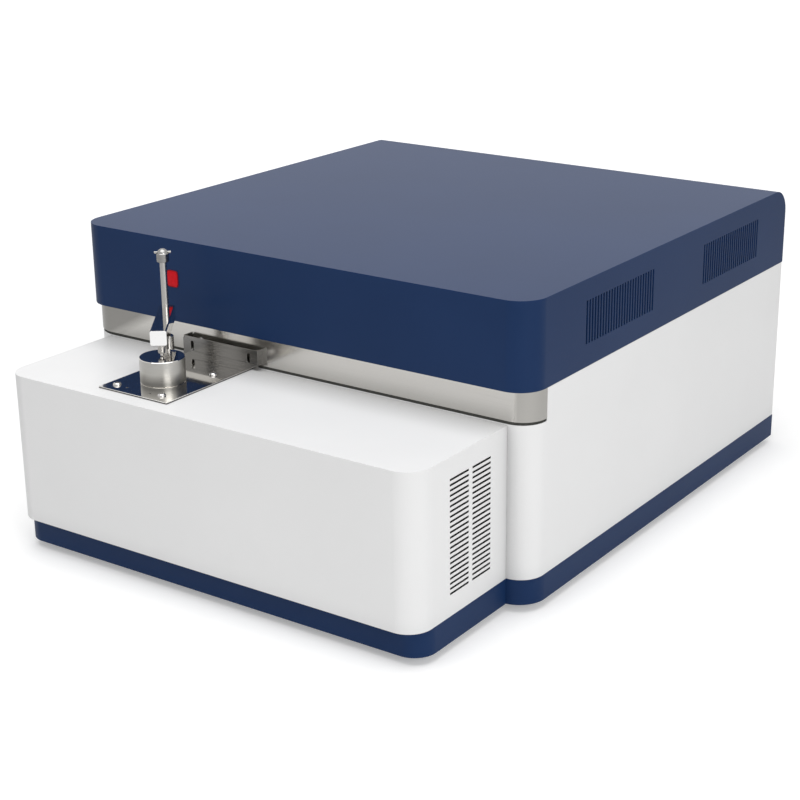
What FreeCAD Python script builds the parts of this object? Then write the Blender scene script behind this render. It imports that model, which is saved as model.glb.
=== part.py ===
import FreeCAD, Part
import math
import os
import Sketcher

# Benchtop spark emission spectrometer, in millimetres.
# The origin is the middle of the footprint at table height, +Z is up and the spark stand faces -Y.

doc = FreeCAD.newDocument("SparkSpectrometer")
sheet = doc.addObject("Spreadsheet::Sheet", "Sizes")
nodes = []


class Size:
    """A number together with the spreadsheet formula that gives it."""

    rows = 0

    def __init__(self, text, value):
        self.text = text
        self.value = value

    def __add__(self, other):
        other = lift(other)
        return Size("(%s + %s)" % (self.text, other.text), self.value + other.value)

    def __radd__(self, other):
        return lift(other) + self

    def __sub__(self, other):
        other = lift(other)
        return Size("(%s - %s)" % (self.text, other.text), self.value - other.value)

    def __rsub__(self, other):
        return lift(other) - self

    def __mul__(self, other):
        other = lift(other)
        return Size("(%s * %s)" % (self.text, other.text), self.value * other.value)

    def __rmul__(self, other):
        return lift(other) * self

    def __truediv__(self, other):
        other = lift(other)
        return Size("(%s / %s)" % (self.text, other.text), self.value / other.value)

    def __neg__(self):
        return lift(0) - self


def lift(number):
    """Gives a plain number the same form as a named size."""
    if isinstance(number, Size):
        return number
    return Size("(%r)" % float(number), float(number))


def size(name, number, meaning):
    """Writes one named value into the spreadsheet and returns it for use in formulas."""
    Size.rows += 1
    sheet.set("A%d" % Size.rows, meaning)
    sheet.set("B%d" % Size.rows, repr(float(number)))
    sheet.setAlias("B%d" % Size.rows, name)
    return Size("Sizes." + name, float(number))


def cosine(angle):
    """Cosine of an angle in degrees."""
    angle = lift(angle)
    return Size("cos(%s * 1 deg)" % angle.text, math.cos(math.radians(angle.value)))


def sine(angle):
    """Sine of an angle in degrees."""
    angle = lift(angle)
    return Size("sin(%s * 1 deg)" % angle.text, math.sin(math.radians(angle.value)))


# Levels above the table.
foot_height = size("foot_height", 10, "rubber feet under the plinth")
plinth_top = size("plinth_top", 40.6, "top of the navy plinth")
box_top = size("box_top", 219, "top of the front box")
wall_top = size("wall_top", 220, "top edge of the white front wall")
band_low = size("band_low", 223, "lower edge of the steel trim band")
lid_low = size("lid_low", 257.3, "lower edge of the navy top cover")
lid_top = size("lid_top", 357.5, "top of the navy top cover")

# Plan of the case, seen from above.
case_width = size("case_width", 640, "width over the side panels")
lid_front = size("lid_front", -252, "front face of the top cover")
lid_rear = size("lid_rear", 398, "rear face of the top cover")
shell_front = size("shell_front", -248, "front face of the white shell")
shell_rear = size("shell_rear", 396.7, "rear face of the rear panel")
band_front = size("band_front", -246.4, "front face of the trim band")
band_end = size("band_end", -215, "where the trim band meets the white side panel")
band_left_end = size("band_left_end", -203, "the same on the left, behind the rounder corner")
box_front = size("box_front", -419.5, "front face of the front box")
box_left = size("box_left", -284.7, "left face of the front box")
box_right = size("box_right", 290.6, "right face of the front box")
plinth_front = size("plinth_front", -409.9, "front face of the plinth under the box")
lid_corner = size("lid_corner", 32.5, "upright front corners of the top cover")
lid_rear_round = size("lid_rear_round", 32, "rear top edge of the top cover")
shell_corner = size("shell_corner", 29.4, "upright front corners of the white shell")
shell_left_corner = size("shell_left_corner", 41, "upright front left corner of the white shell")
band_left_corner = size("band_left_corner", 37, "front left corner of the trim band")
box_corner = size("box_corner", 28.3, "upright corners of the front box")
plinth_corner = size("plinth_corner", 33.9, "main corners of the plinth")
plinth_box_corner = size("plinth_box_corner", 26.4, "corners of the plinth under the box")

# Sheet, clearances and fixings.
sheet_wall = size("sheet_wall", 2, "painted sheet of shell, box and cover")
plinth_wall = size("plinth_wall", 3, "plinth side walls and floor")
flange = size("flange", 14, "inward flanges of the sheet pieces")
seam = size("seam", 0.3, "clearance of inserted sheet pieces")
slide_gap = size("slide_gap", 0.05, "running clearance of guided pieces")
screw_shank = size("screw_shank", 2.5, "radius of the M5 screws")
small_shank = size("small_shank", 2, "radius of the M4 screws")
foot_stem = size("foot_stem", 4, "stems of the rubber feet")

# Spark stand.
stand_x = size("stand_x", -109, "spark axis")
stand_y = size("stand_y", -343.5, "spark axis")
plate_left = size("plate_left", -156, "stand plate")
plate_right = size("plate_right", -54.4, "stand plate")
plate_front = size("plate_front", -398, "stand plate")
plate_rear = size("plate_rear", -248.7, "stand plate, under the bracket")
plate_thick = size("plate_thick", 2, "stand plate")
aperture = size("aperture", 7, "radius of the spark opening")
screw_span_x = size("screw_span_x", 67.3, "stand plate screws")
screw_span_y = size("screw_span_y", 85.5, "stand plate screws")
screw_left = size("screw_left", -142.3, "left stand plate screw")
screw_front = size("screw_front", -383, "front stand plate screws")
head_radius = size("head_radius", 4.75, "button head screws")
head_height = size("head_height", 2.75, "button head screws")
bracket_front = size("bracket_front", -255, "front wall of the stand bracket")
bracket_left = size("bracket_left", -158, "stand bracket")
bracket_right = size("bracket_right", -44, "stand bracket")
bracket_top = size("bracket_top", 243.3, "stand bracket")
bracket_sheet = size("bracket_sheet", 1.2, "stand bracket sheet")
bracket_slot_low = size("bracket_slot_low", 226.5, "bracket slots")
bracket_slot_high = size("bracket_slot_high", 238.4, "bracket slots")
bracket_slot_width = size("bracket_slot_width", 4.5, "bracket slots")
sample_radius = size("sample_radius", 25.75, "metal sample")
sample_height = size("sample_height", 29, "metal sample")
pin_gap = size("pin_gap", 0.25, "pin above the sample")
pin_radius = size("pin_radius", 1.75, "pressure pin")
pin_reach = size("pin_reach", 63.2, "from post axis to pin axis")
arm_angle = size("arm_angle", -53.05, "direction of the arm from the post")
arm_low = size("arm_low", 270, "underside of the clamp arm")
arm_height = size("arm_height", 17, "clamp arm")
arm_width = size("arm_width", 18.4, "clamp arm")
arm_nose = size("arm_nose", 24, "arm beyond the pin axis")
arm_tail = size("arm_tail", 15, "arm behind the post axis")
arm_bevel = size("arm_bevel", 1.4, "arm edges")
post_radius = size("post_radius", 4, "clamp post")
sleeve_radius = size("sleeve_radius", 7.3, "post sleeve")
sleeve_top = size("sleeve_top", 255, "post sleeve")
knob_low = size("knob_low", 343, "knob on the post")
knob_edge = knob_low + size("knob_skirt_height", 10.5, "knob below its dome")
knob_top = knob_edge + size("knob_dome_height", 5, "dome of the knob")
knob_radius = size("knob_radius", 7.1, "knob on the post")
knob_cap_radius = size("knob_cap_radius", 6.4, "foot of the knob's dome")
knob_dome = size("knob_dome", 6.6, "radius of the knob's dome")
cross_radius = size("cross_radius", 1.3, "cross pin of the knob")
cross_length = size("cross_length", 19, "cross pin of the knob")
cross_height = knob_low + size("cross_rise", 11.2, "cross pin above the knob's lower edge")
cross_angle = size("cross_angle", 44, "direction of the cross pin")
plate_top = box_top + plate_thick
screw_rear = screw_front + screw_span_y
screw_right = screw_left + screw_span_x
post_x = stand_x - pin_reach * cosine(arm_angle)
post_y = stand_y - pin_reach * sine(arm_angle)
half = case_width / 2
inside = half - sheet_wall
panel_screw_x = inside - flange / 2

# Openings in the sheet.
grille_low = size("grille_low", 283.5, "side grilles of the top cover")
grille_high = size("grille_high", 333, "side grilles of the top cover")
grille_front = size("grille_front", -135, "front grille, first edge")
grille_rear = size("grille_rear", 153, "rear grille, first edge")
grille_length = size("grille_length", 157, "one grille")
grille_slot = size("grille_slot", 3, "grille slots")
grille_count = 26
vent_low = size("vent_low", 66.3, "lowest vent slot of the front box")
vent_pitch = size("vent_pitch", 5.79, "vent slots of the front box")
vent_slot = size("vent_slot", 2.3, "vent slots of the front box")
vent_front = size("vent_front", -357, "front vent column")
vent_rear = size("vent_rear", -315, "rear vent column")
vent_length = size("vent_length", 34.8, "vent slots of the front box")
vent_count = 23

# Optics.
light_height = size("light_height", 209.5, "light port under the stand plate")
optics_axis = size("optics_axis", 120, "height of slit, grating and detectors")
chamber_low = size("chamber_low", 60, "optics chamber")
chamber_high = size("chamber_high", 180, "optics chamber")
chamber_wall = size("chamber_wall", 8, "optics chamber")
circle_radius = size("circle_radius", 175, "Rowland circle")
incidence = size("incidence", 15, "angle of incidence on the grating")
slit_y = size("slit_y", -160, "entrance slit")
grating_y = slit_y + 2 * circle_radius * cosine(incidence)
circle_x = stand_x + circle_radius * sine(incidence)
circle_y = slit_y + circle_radius * cosine(incidence)
chamber_left = circle_x - circle_radius - size("room_left", 29.3, "optics chamber left of the circle")
chamber_right = circle_x + circle_radius + size("room_right", 56.7, "optics chamber right of the circle")
chamber_front = slit_y - 10
chamber_rear = grating_y + size("room_rear", 61.9, "optics chamber behind the grating")
detector_first = size("detector_first", -56, "direction of the first detector")
detector_step = size("detector_step", 16, "between detectors")
detector_count = 7

# Rear panel and fittings.
panel_sheet = size("panel_sheet", 2, "rear panel")
fan_height = size("fan_height", 170, "fan axes")
fan_offset = size("fan_offset", 55, "fan axes from the middle")
fan_side = size("fan_side", 92, "fan frames")
fan_depth = size("fan_depth", 25, "fan frames")
fan_bore = size("fan_bore", 44, "bore of the fan frames")
fan_screw = size("fan_screw", 41.25, "fan screws from the fan axis")
fitting_reach = shell_rear + size("fitting_length", 22.8, "gas fittings behind the rear panel")
inlet_x = size("inlet_x", 165, "mains inlet and switch")
inlet_z = size("inlet_z", 90, "mains inlet")
switch_z = size("switch_z", 132, "mains switch")
gas_in_x = half - size("gas_in_inset", 50, "argon inlet from the right side")
gas_in_z = size("gas_in_z", 80, "argon inlet")
gas_out_x = size("gas_out_inset", 80, "argon exhaust from the left side") - half
gas_out_z = size("gas_out_z", 100, "argon exhaust")
port_x = size("port_x", -170, "data ports")
tube_radius = size("tube_radius", 3, "gas tubes")
tube_height = chamber_high + size("tube_rise", 18, "gas tubes over the optics chamber")
panel_inside = shell_rear - panel_sheet
shank_end = panel_inside - size("shank_inward", 6.7, "gas fittings inside the rear panel")
floor_top = foot_height + plinth_wall

doc.recompute()


def place(obj, x, y, z):
    """Binds the position of an object to three sizes."""
    for axis, value in zip("xyz", (x, y, z)):
        obj.setExpression("Placement.Base." + axis, lift(value).text)
    return obj


def turn(obj, axis, angle):
    """Turns an object about its own base point, the angle bound to a size."""
    obj.Placement.Rotation = FreeCAD.Rotation(FreeCAD.Vector(*axis), lift(angle).value)
    return obj


def node(obj, name):
    """Marks an object as one named piece of the assembly."""
    obj.Label = name
    nodes.append(obj)
    return obj


def block(name, x, y, z):
    """Box between pairs of x, y and z sizes."""
    obj = doc.addObject("Part::Box", name)
    for prop, (low, high) in zip(("Length", "Width", "Height"), (x, y, z)):
        obj.setExpression(prop, (lift(high) - lift(low)).text)
    return place(obj, x[0], y[0], z[0])


def rod(name, axis, across, along, radius, sweep=360):
    """Cylinder along an axis; across gives the two other coordinates in x, y, z order."""
    obj = doc.addObject("Part::Cylinder", name)
    obj.setExpression("Radius", lift(radius).text)
    obj.setExpression("Height", (lift(along[1]) - lift(along[0])).text)
    obj.Angle = sweep
    if axis == "z":
        return place(obj, across[0], across[1], along[0])
    if axis == "y":
        turn(obj, (1, 0, 0), -90)
        return place(obj, across[0], along[0], across[1])
    turn(obj, (0, 1, 0), 90)
    return place(obj, along[0], across[0], across[1])


def ball(name, centre, radius):
    """Sphere about a centre point."""
    obj = doc.addObject("Part::Sphere", name)
    obj.setExpression("Radius", lift(radius).text)
    return place(obj, *centre)


def gather(name, parts):
    """Keeps several solids together without joining them."""
    obj = doc.addObject("Part::Compound", name)
    obj.Links = list(parts)
    return obj


def fuse(name, *parts):
    """Joins solids into one."""
    obj = doc.addObject("Part::MultiFuse", name)
    obj.Shapes = list(parts)
    obj.Refine = True
    return obj


def cut(name, base, *tools):
    """Takes tool solids away from a base solid."""
    obj = doc.addObject("Part::Cut", name)
    obj.Base = base
    obj.Tool = tools[0] if len(tools) == 1 else gather(name + "_tools", tools)
    return obj


def common(name, first, second):
    """Keeps what two solids share."""
    obj = doc.addObject("Part::MultiCommon", name)
    obj.Shapes = [first, second]
    return obj


def hexagon(name, axis, across, along, flats):
    """Six-sided bar along z or y, its size given over the flats."""
    obj = doc.addObject("Part::Prism", name)
    obj.Polygon = 6
    obj.setExpression("Circumradius", (lift(flats) / 2 / cosine(30)).text)
    obj.setExpression("Height", (lift(along[1]) - lift(along[0])).text)
    if axis == "z":
        return place(obj, across[0], across[1], along[0])
    turn(obj, (1, 0, 0), -90)
    return place(obj, across[0], along[0], across[1])


def hold(sketch, kind, geometry, point, value):
    """Ties one coordinate of a sketch point to a size."""
    if abs(value.value) < 1e-9:
        axis = -2 if kind == "DistanceX" else -1
        sketch.addConstraint(Sketcher.Constraint("PointOnObject", geometry, point, axis))
        return
    index = sketch.addConstraint(Sketcher.Constraint(kind, -1, 1, geometry, point, value.value))
    sketch.setExpression("Constraints[%d]" % index, value.text)


def loop(sketch, corners):
    """Draws one closed outline; a corner with a third size is rounded and joins upright edges."""
    points = [tuple(lift(v) for v in corner) for corner in corners]
    total = len(points)
    flat = [(p[0].value, p[1].value) for p in points]
    start = sketch.GeometryCount
    cuts = []
    for i in range(total):
        ends = []
        for j in (i - 1, (i + 1) % total):
            dx = flat[j][0] - flat[i][0]
            dy = flat[j][1] - flat[i][1]
            span = math.hypot(dx, dy)
            back = points[i][2].value if len(points[i]) == 3 else 0
            ends.append((flat[i][0] + dx / span * back, flat[i][1] + dy / span * back))
        cuts.append(ends)
    for i in range(total):
        a = cuts[i][1]
        b = cuts[(i + 1) % total][0]
        sketch.addGeometry(Part.LineSegment(FreeCAD.Vector(a[0], a[1], 0), FreeCAD.Vector(b[0], b[1], 0)),
                           False)
    for i in range(total):
        j = (i + 1) % total
        upright = abs(flat[i][0] - flat[j][0]) < 1e-6
        rounded = (len(points[i]) == 3, len(points[j]) == 3)
        if rounded[0] or rounded[1]:
            sketch.addConstraint(Sketcher.Constraint("Vertical" if upright else "Horizontal", start + i))
        if rounded[0] and rounded[1]:
            axis = 0 if upright else 1
            hold(sketch, "DistanceX" if upright else "DistanceY", start + i, 1, points[i][axis])
    for i in range(total):
        before = start + (i - 1) % total
        after = start + i
        if len(points[i]) == 2:
            sketch.addConstraint(Sketcher.Constraint("Coincident", before, 2, after, 1))
            hold(sketch, "DistanceX", after, 1, points[i][0])
            hold(sketch, "DistanceY", after, 1, points[i][1])
            continue
        (ax, ay), (bx, by) = cuts[i]
        radius = points[i][2]
        cx = ax + bx - flat[i][0]
        cy = ay + by - flat[i][1]
        turning = (bx - cx) * (ay - cy) - (by - cy) * (ax - cx)
        middle = FreeCAD.Vector(
            cx + (flat[i][0] - cx) / math.sqrt(2), cy + (flat[i][1] - cy) / math.sqrt(2), 0)
        arc = Part.Arc(FreeCAD.Vector(ax, ay, 0), middle, FreeCAD.Vector(bx, by, 0))
        geometry = sketch.addGeometry(arc, False)
        first, last = (1, 2) if turning < 0 else (2, 1)
        sketch.addConstraint(Sketcher.Constraint("Tangent", before, 2, geometry, first))
        sketch.addConstraint(Sketcher.Constraint("Tangent", geometry, last, after, 1))
        index = sketch.addConstraint(Sketcher.Constraint("Radius", geometry, radius.value))
        sketch.setExpression("Constraints[%d]" % index, radius.text)


def drawing(body, name, role, offset, loops, circles=()):
    """Sketch with outlines and round holes on one of the body's origin planes."""
    sketch = body.newObject("Sketcher::SketchObject", name)
    plane = [f for f in body.Origin.OriginFeatures if f.Role == role][0]
    sketch.AttachmentSupport = [(plane, "")]
    sketch.MapMode = "FlatFace"
    sketch.setExpression("AttachmentOffset.Base.z", lift(offset).text)
    for corners in loops:
        loop(sketch, corners)
    for x, y, radius in circles:
        centre = FreeCAD.Vector(lift(x).value, lift(y).value, 0)
        index = sketch.addGeometry(Part.Circle(centre, FreeCAD.Vector(0, 0, 1), lift(radius).value), False)
        hold(sketch, "DistanceX", index, 3, lift(x))
        hold(sketch, "DistanceY", index, 3, lift(y))
        bound = sketch.addConstraint(Sketcher.Constraint("Radius", index, lift(radius).value))
        sketch.setExpression("Constraints[%d]" % bound, lift(radius).text)
    return sketch


def prism(name, axis, along, loops, circles=()):
    """Body padded from a drawn outline between two sizes along x, y or z."""
    body = doc.addObject("PartDesign::Body", name)
    low, high = lift(along[0]), lift(along[1])
    role, offset = {"z": ("XY_Plane", low), "x": ("YZ_Plane", low), "y": ("XZ_Plane", -high)}[axis]
    pad = body.newObject("PartDesign::Pad", name + "_pad")
    pad.Profile = drawing(body, name + "_outline", role, offset, loops, circles)
    pad.setExpression("Length", (high - low).text)
    return body


def turned(name, at, corners, axis="z"):
    """Body turned from a half outline of radius and height pairs about its own axis."""
    body = doc.addObject("PartDesign::Body", name)
    spin = body.newObject("PartDesign::Revolution", name + "_turning")
    sketch = drawing(body, name + "_outline", "XZ_Plane", 0, [corners])
    spin.Profile = sketch
    spin.ReferenceAxis = (sketch, ["V_Axis"])
    spin.Angle = 360
    if axis == "y":
        turn(body, (1, 0, 0), -90)
    return place(body, *at)


def plan(front, rear, width, radius):
    """Corners of a plan outline with rounded front corners."""
    return [(-width, front, radius), (width, front, radius), (width, rear), (-width, rear)]


# Plinth
# Navy sheet tray under the case, open at the top, its edge carrying the shell and the front box.
low = foot_height
inner_left = box_left + plinth_wall
inner_right = box_right - plinth_wall
tray_outline = [
    (box_left, plinth_front, plinth_box_corner), (box_right, plinth_front, plinth_box_corner),
    (box_right, shell_front), (half, shell_front, plinth_corner), (half, shell_rear),
    (-half, shell_rear), (-half, shell_front, plinth_corner), (box_left, shell_front)]
tray_inside = [
    (inner_left, plinth_front + plinth_wall, plinth_box_corner - plinth_wall),
    (inner_right, plinth_front + plinth_wall, plinth_box_corner - plinth_wall),
    (inner_right, shell_front + plinth_wall),
    (half - plinth_wall, shell_front + plinth_wall, plinth_corner - plinth_wall),
    (half - plinth_wall, shell_rear - plinth_wall), (-half + plinth_wall, shell_rear - plinth_wall),
    (-half + plinth_wall, shell_front + plinth_wall, plinth_corner - plinth_wall),
    (inner_left, shell_front + plinth_wall)]
foot_places = [(-210, -340), (215, -340), (-250, -150), (250, -150), (-250, 330), (250, 330)]
tray_block = prism("tray_block", "z", (low, plinth_top), [tray_outline])
tray_hollow = prism("tray_hollow", "z", (floor_top, plinth_top + 1), [tray_inside])
tray_holes = [rod("tray_hole", "z", at, (low - 1, floor_top + 1), foot_stem + slide_gap) for at in foot_places]
node(cut("plinth", tray_block, tray_hollow, *tray_holes), "plinth_tray")

# Feet
# Moulded rubber feet, each pushed into the tray floor by its barbed stem.
feet = [turned("foot", (at[0], at[1], 0), [
    (0, 0), (17, 0), (20, foot_height), (foot_stem, foot_height), (foot_stem, floor_top), (foot_stem + 2,
            floor_top),
    (foot_stem, floor_top + 4), (0, floor_top + 4)]) for at in foot_places]
node(gather("feet", feet), "rubber_feet")

# Main shell
# White sheet wrapped round the front and both sides, flanged at the rear and along the top.
shell_wall = prism("shell_wall", "z", (plinth_top, wall_top), [[
    (-half, shell_rear), (-half, shell_front, shell_left_corner), (half, shell_front, shell_corner),
    (half, shell_rear), (inside, shell_rear),
    (inside, shell_front + sheet_wall, shell_corner - sheet_wall),
    (-inside, shell_front + sheet_wall, shell_left_corner - sheet_wall), (-inside, shell_rear)]])
deck_low = lid_low - sheet_wall
shell_pieces = [shell_wall]
for edge, inner, end in ((-half, -inside, band_left_end), (inside, half, band_end)):
    shell_pieces.append(block("shell_side", (edge, inner), (end, shell_rear), (wall_top, lid_low)))
for outer, inner, end in ((-inside, -inside + flange, band_left_end), (inside - flange, inside, band_end)):
    shell_pieces.append(block("shell_shelf", (outer, inner), (end + 2, panel_inside),
                              (deck_low - sheet_wall, deck_low)))
    shell_pieces.append(block("shell_rear_flange", (outer, inner), (panel_inside - sheet_wall, panel_inside),
                              (plinth_top, deck_low - sheet_wall)))
panel_screw_z = (60, 150, 235)
shell_cuts = [block("shell_window", (50 - half, half - 50), (shell_front - 1, shell_front + sheet_wall + 1),
                    (60, 205))]
for z in panel_screw_z:
    for x in (-panel_screw_x, panel_screw_x):
        shell_cuts.append(rod("shell_hole", "y", (x, z), (panel_inside - sheet_wall - 1, panel_inside + 1),
                              small_shank + slide_gap))
node(cut("shell", fuse("shell_joined", *shell_pieces), *shell_cuts), "main_shell")

# Front box
# White folded cover in front of the shell, vented on both sides, open to the shell behind.
box_inside = prism("box_inside", "z", (plinth_top - 1, box_top - sheet_wall), [[
    (box_left + sheet_wall, box_front + sheet_wall, box_corner - sheet_wall),
    (box_right - sheet_wall, box_front + sheet_wall, box_corner - sheet_wall),
    (box_right - sheet_wall, shell_front + 1), (box_left + sheet_wall, shell_front + 1)]])
box_outside = prism("box_outside", "z", (plinth_top, box_top), [[
    (box_left, box_front, box_corner), (box_right, box_front, box_corner),
    (box_right, shell_front), (box_left, shell_front)]])
box_skirt = prism("box_skirt", "z", (plinth_top, plinth_top + sheet_wall), [[
    (box_left + 1, box_front + 1, box_corner - 1), (box_right - 1, box_front + 1, box_corner - 1),
    (box_right - 1, box_front + 32), (box_left + 1, box_front + 32)]])
skirt_hole = prism("skirt_hole", "z", (plinth_top - 1, plinth_top + sheet_wall + 1), [[
    (box_left + flange, box_front + flange, 10), (box_right - flange, box_front + flange, 10),
    (box_right - flange, box_front + 33), (box_left + flange, box_front + 33)]])
box_flanges = []
for outer, inner in ((box_left + 1, box_left + flange), (box_right - flange, box_right - 1)):
    box_flanges.append(block("box_flange", (outer, inner), (shell_front - sheet_wall, shell_front),
                             (plinth_top, box_top - 1)))
vents = []
for first in (vent_front, vent_rear):
    for row in range(vent_count):
        z = vent_low + row * vent_pitch
        vents.append(block("vent", (box_left - 5, box_right + 5), (first, first + vent_length),
                           (z - vent_slot / 2, z + vent_slot / 2)))
vents.append(rod("box_boss_hole", "z", (stand_x, stand_y), (box_top - 5, box_top + 1), 25.3))
plate_screws = [(screw_left, screw_front), (screw_right, screw_front), (screw_right, screw_rear)]
for at in plate_screws:
    vents.append(rod("box_screw_hole", "z", at, (box_top - 5, box_top + 1), screw_shank + seam))
vents.append(rod("box_post_hole", "z", (post_x, post_y), (box_top - 5, box_top + 1), 5 + seam))
box_joined = fuse("box_joined", cut("box_hollow", box_outside, box_inside),
                  cut("box_rim", box_skirt, skirt_hole), *box_flanges)
node(cut("front_box", box_joined, *vents), "front_box_cover")

# Trim band and seal
# Brushed steel strip round both front corners, backed by the black rubber that closes the joint.
band_sheet = size("band_sheet", 1.5, "trim band")
seal_thick = size("seal_thick", 2, "rubber behind the trim band")


def wrap(front, reach, left_radius, right_radius, thick):
    """Outline of a strip that runs round the front and both front corners."""
    return [(-reach, band_left_end), (-reach, front, left_radius), (reach, front, right_radius),
            (reach, band_end),
            (reach - thick, band_end), (reach - thick, front + thick, right_radius - thick),
            (-reach + thick, front + thick, left_radius - thick), (-reach + thick, band_left_end)]


node(prism("band", "z", (band_low, lid_low), [wrap(band_front, half, band_left_corner, shell_corner,
                                                   band_sheet)]),
     "trim_band")
seal_high = prism("seal_high", "z", (band_low, deck_low + sheet_wall), [
    wrap(band_front + band_sheet, half - band_sheet, band_left_corner - band_sheet,
         shell_corner - band_sheet, seal_thick)])
seal_low = prism("seal_low", "z", (wall_top - 8, band_low), [
    wrap(shell_front + sheet_wall, inside, shell_left_corner - sheet_wall,
         shell_corner - sheet_wall, seal_thick)])
node(fuse("seal", seal_high, seal_low), "band_seal")

# Deck
# Galvanised sheet on the shell's shelves, with pressed studs for the control board and turned-up tabs
# for the cover's screws; it parts the optics below from the electronics above.
cover_screw_x = (100 - half, 0, half - 100)
cover_screw_z = size("cover_screw_z", 275, "screws of the top cover")
stud_places = [(15, -5), (125, -5), (235, -5), (15, 185), (125, 185), (235, 185)]
board_low = size("board_low", 266, "underside of the control board")
deck_half = half - band_sheet - seal_thick - seam
deck_front = band_front + band_sheet + seal_thick + seam
deck_parts = [prism("deck_sheet", "z", (deck_low, lid_low), [
    plan(deck_front, panel_inside - seam, deck_half, band_left_corner - band_sheet - seal_thick - seam)])]
deck_cuts = [block("deck_slot", (x, x + 60), (panel_inside - 65, panel_inside - 53),
                   (deck_low - 1, lid_low + 1)) for x in (-260, -160, 100, 200)]
for at in stud_places:
    deck_parts.append(rod("deck_stud", "z", at, (lid_low - 1, board_low), 3))
for x in cover_screw_x:
    deck_parts.append(block("deck_tab_foot", (x - 15, x + 15), (lid_rear - 28, lid_rear - sheet_wall),
                            (lid_low, lid_low + sheet_wall)))
    deck_parts.append(block("deck_tab", (x - 15, x + 15), (lid_rear - 2 * sheet_wall, lid_rear - sheet_wall),
                            (lid_low, cover_screw_z + 12)))
    deck_cuts.append(rod("deck_tab_hole", "y", (x, cover_screw_z), (lid_rear - 18, lid_rear + 1),
                         small_shank + slide_gap))
node(cut("deck", fuse("deck_joined", *deck_parts), *deck_cuts), "equipment_deck")

# Top cover
# Navy sheet cover with slotted grilles in both sides and a rounded rear top edge.
cover_outside = common(
    "cover_outside",
    prism("cover_plan", "z", (lid_low, lid_top), [plan(lid_front, lid_rear, half, lid_corner)]),
    prism("cover_side", "x", (-half - 1, half + 1), [[
        (lid_front - 1, lid_low), (lid_rear, lid_low), (lid_rear, lid_top, lid_rear_round),
        (lid_front - 1, lid_top)]]))
cover_inside = common(
    "cover_inside",
    prism("cover_plan_inside", "z", (lid_low - 1, lid_top), [
        plan(lid_front + sheet_wall, lid_rear - sheet_wall, inside, lid_corner - sheet_wall)]),
    prism("cover_side_inside", "x", (-half - 1, half + 1), [[
        (lid_front - 1, lid_low - 1), (lid_rear - sheet_wall, lid_low - 1),
        (lid_rear - sheet_wall, lid_top - sheet_wall, lid_rear_round - sheet_wall),
        (lid_front - 1, lid_top - sheet_wall)]]))
cover_lip = prism("cover_lip", "z", (lid_low, lid_low + sheet_wall), [[
    (-half + 1, lid_front + 1, lid_corner - 1), (half - 1, lid_front + 1, lid_corner - 1),
    (half - 1, lid_front + 22 + lid_corner), (half - flange, lid_front + 22 + lid_corner),
    (half - flange, lid_front + 20), (-half + flange, lid_front + 20),
    (-half + flange, lid_front + 22 + lid_corner), (-half + 1, lid_front + 22 + lid_corner)]])
slots = []
grille_pitch = (grille_length - grille_slot) / (grille_count - 1)
for first in (grille_front, grille_rear):
    for column in range(grille_count):
        y = first + column * grille_pitch
        slots.append(block("grille", (-half - 1, half + 1), (y, y + grille_slot), (grille_low, grille_high)))
for x in cover_screw_x:
    slots.append(rod("cover_hole", "y", (x, cover_screw_z), (lid_rear - 5, lid_rear + 1),
                     small_shank + slide_gap))
node(cut("cover", fuse("cover_joined", cut("cover_hollow", cover_outside, cover_inside), cover_lip), *slots),
     "top_cover")

# Stand plate
# Polished steel plate on the front box; the sample covers its spark opening.
plate_blank = block("plate_blank", (plate_left, plate_right), (plate_front, plate_rear), (box_top, plate_top))
plate_cuts = [
    rod("plate_aperture", "z", (stand_x, stand_y), (box_top - 1, plate_top + 1), aperture),
    rod("plate_post_hole", "z", (post_x, post_y), (box_top - 1, plate_top + 1), 5 + slide_gap),
    rod("plate_hole", "z", (-126, -384.5), (box_top - 1, plate_top + 1), 1.5),
    rod("plate_hole", "z", (-91.2, -384.5), (box_top - 1, plate_top + 1), 1.5)]
for at in plate_screws:
    plate_cuts.append(rod("plate_screw_hole", "z", at, (box_top - 1, plate_top + 1), screw_shank + slide_gap))
node(cut("plate", plate_blank, *plate_cuts), "stand_plate")

# Stand plate screws
# Button heads with hexagon sockets, threaded into the flange of the spark chamber.
bolts = []
flange_low = box_top - sheet_wall - 8
for at in plate_screws:
    solid = turned("plate_bolt", (at[0], at[1], plate_top), [
        (0, flange_low - plate_top), (screw_shank, flange_low - plate_top), (screw_shank, 0), (head_radius, 0),
        (head_radius, head_height * 0.25), (head_radius * 0.86, head_height * 0.7),
        (head_radius * 0.6, head_height), (0, head_height)])
    socket = hexagon("plate_bolt_socket", "z", at, (plate_top + head_height - 1.8,
                                                    plate_top + head_height + 1), 3)
    bolts.append(cut("plate_bolt_cut", solid, socket))
node(gather("plate_bolts", bolts), "stand_plate_screws")

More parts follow.
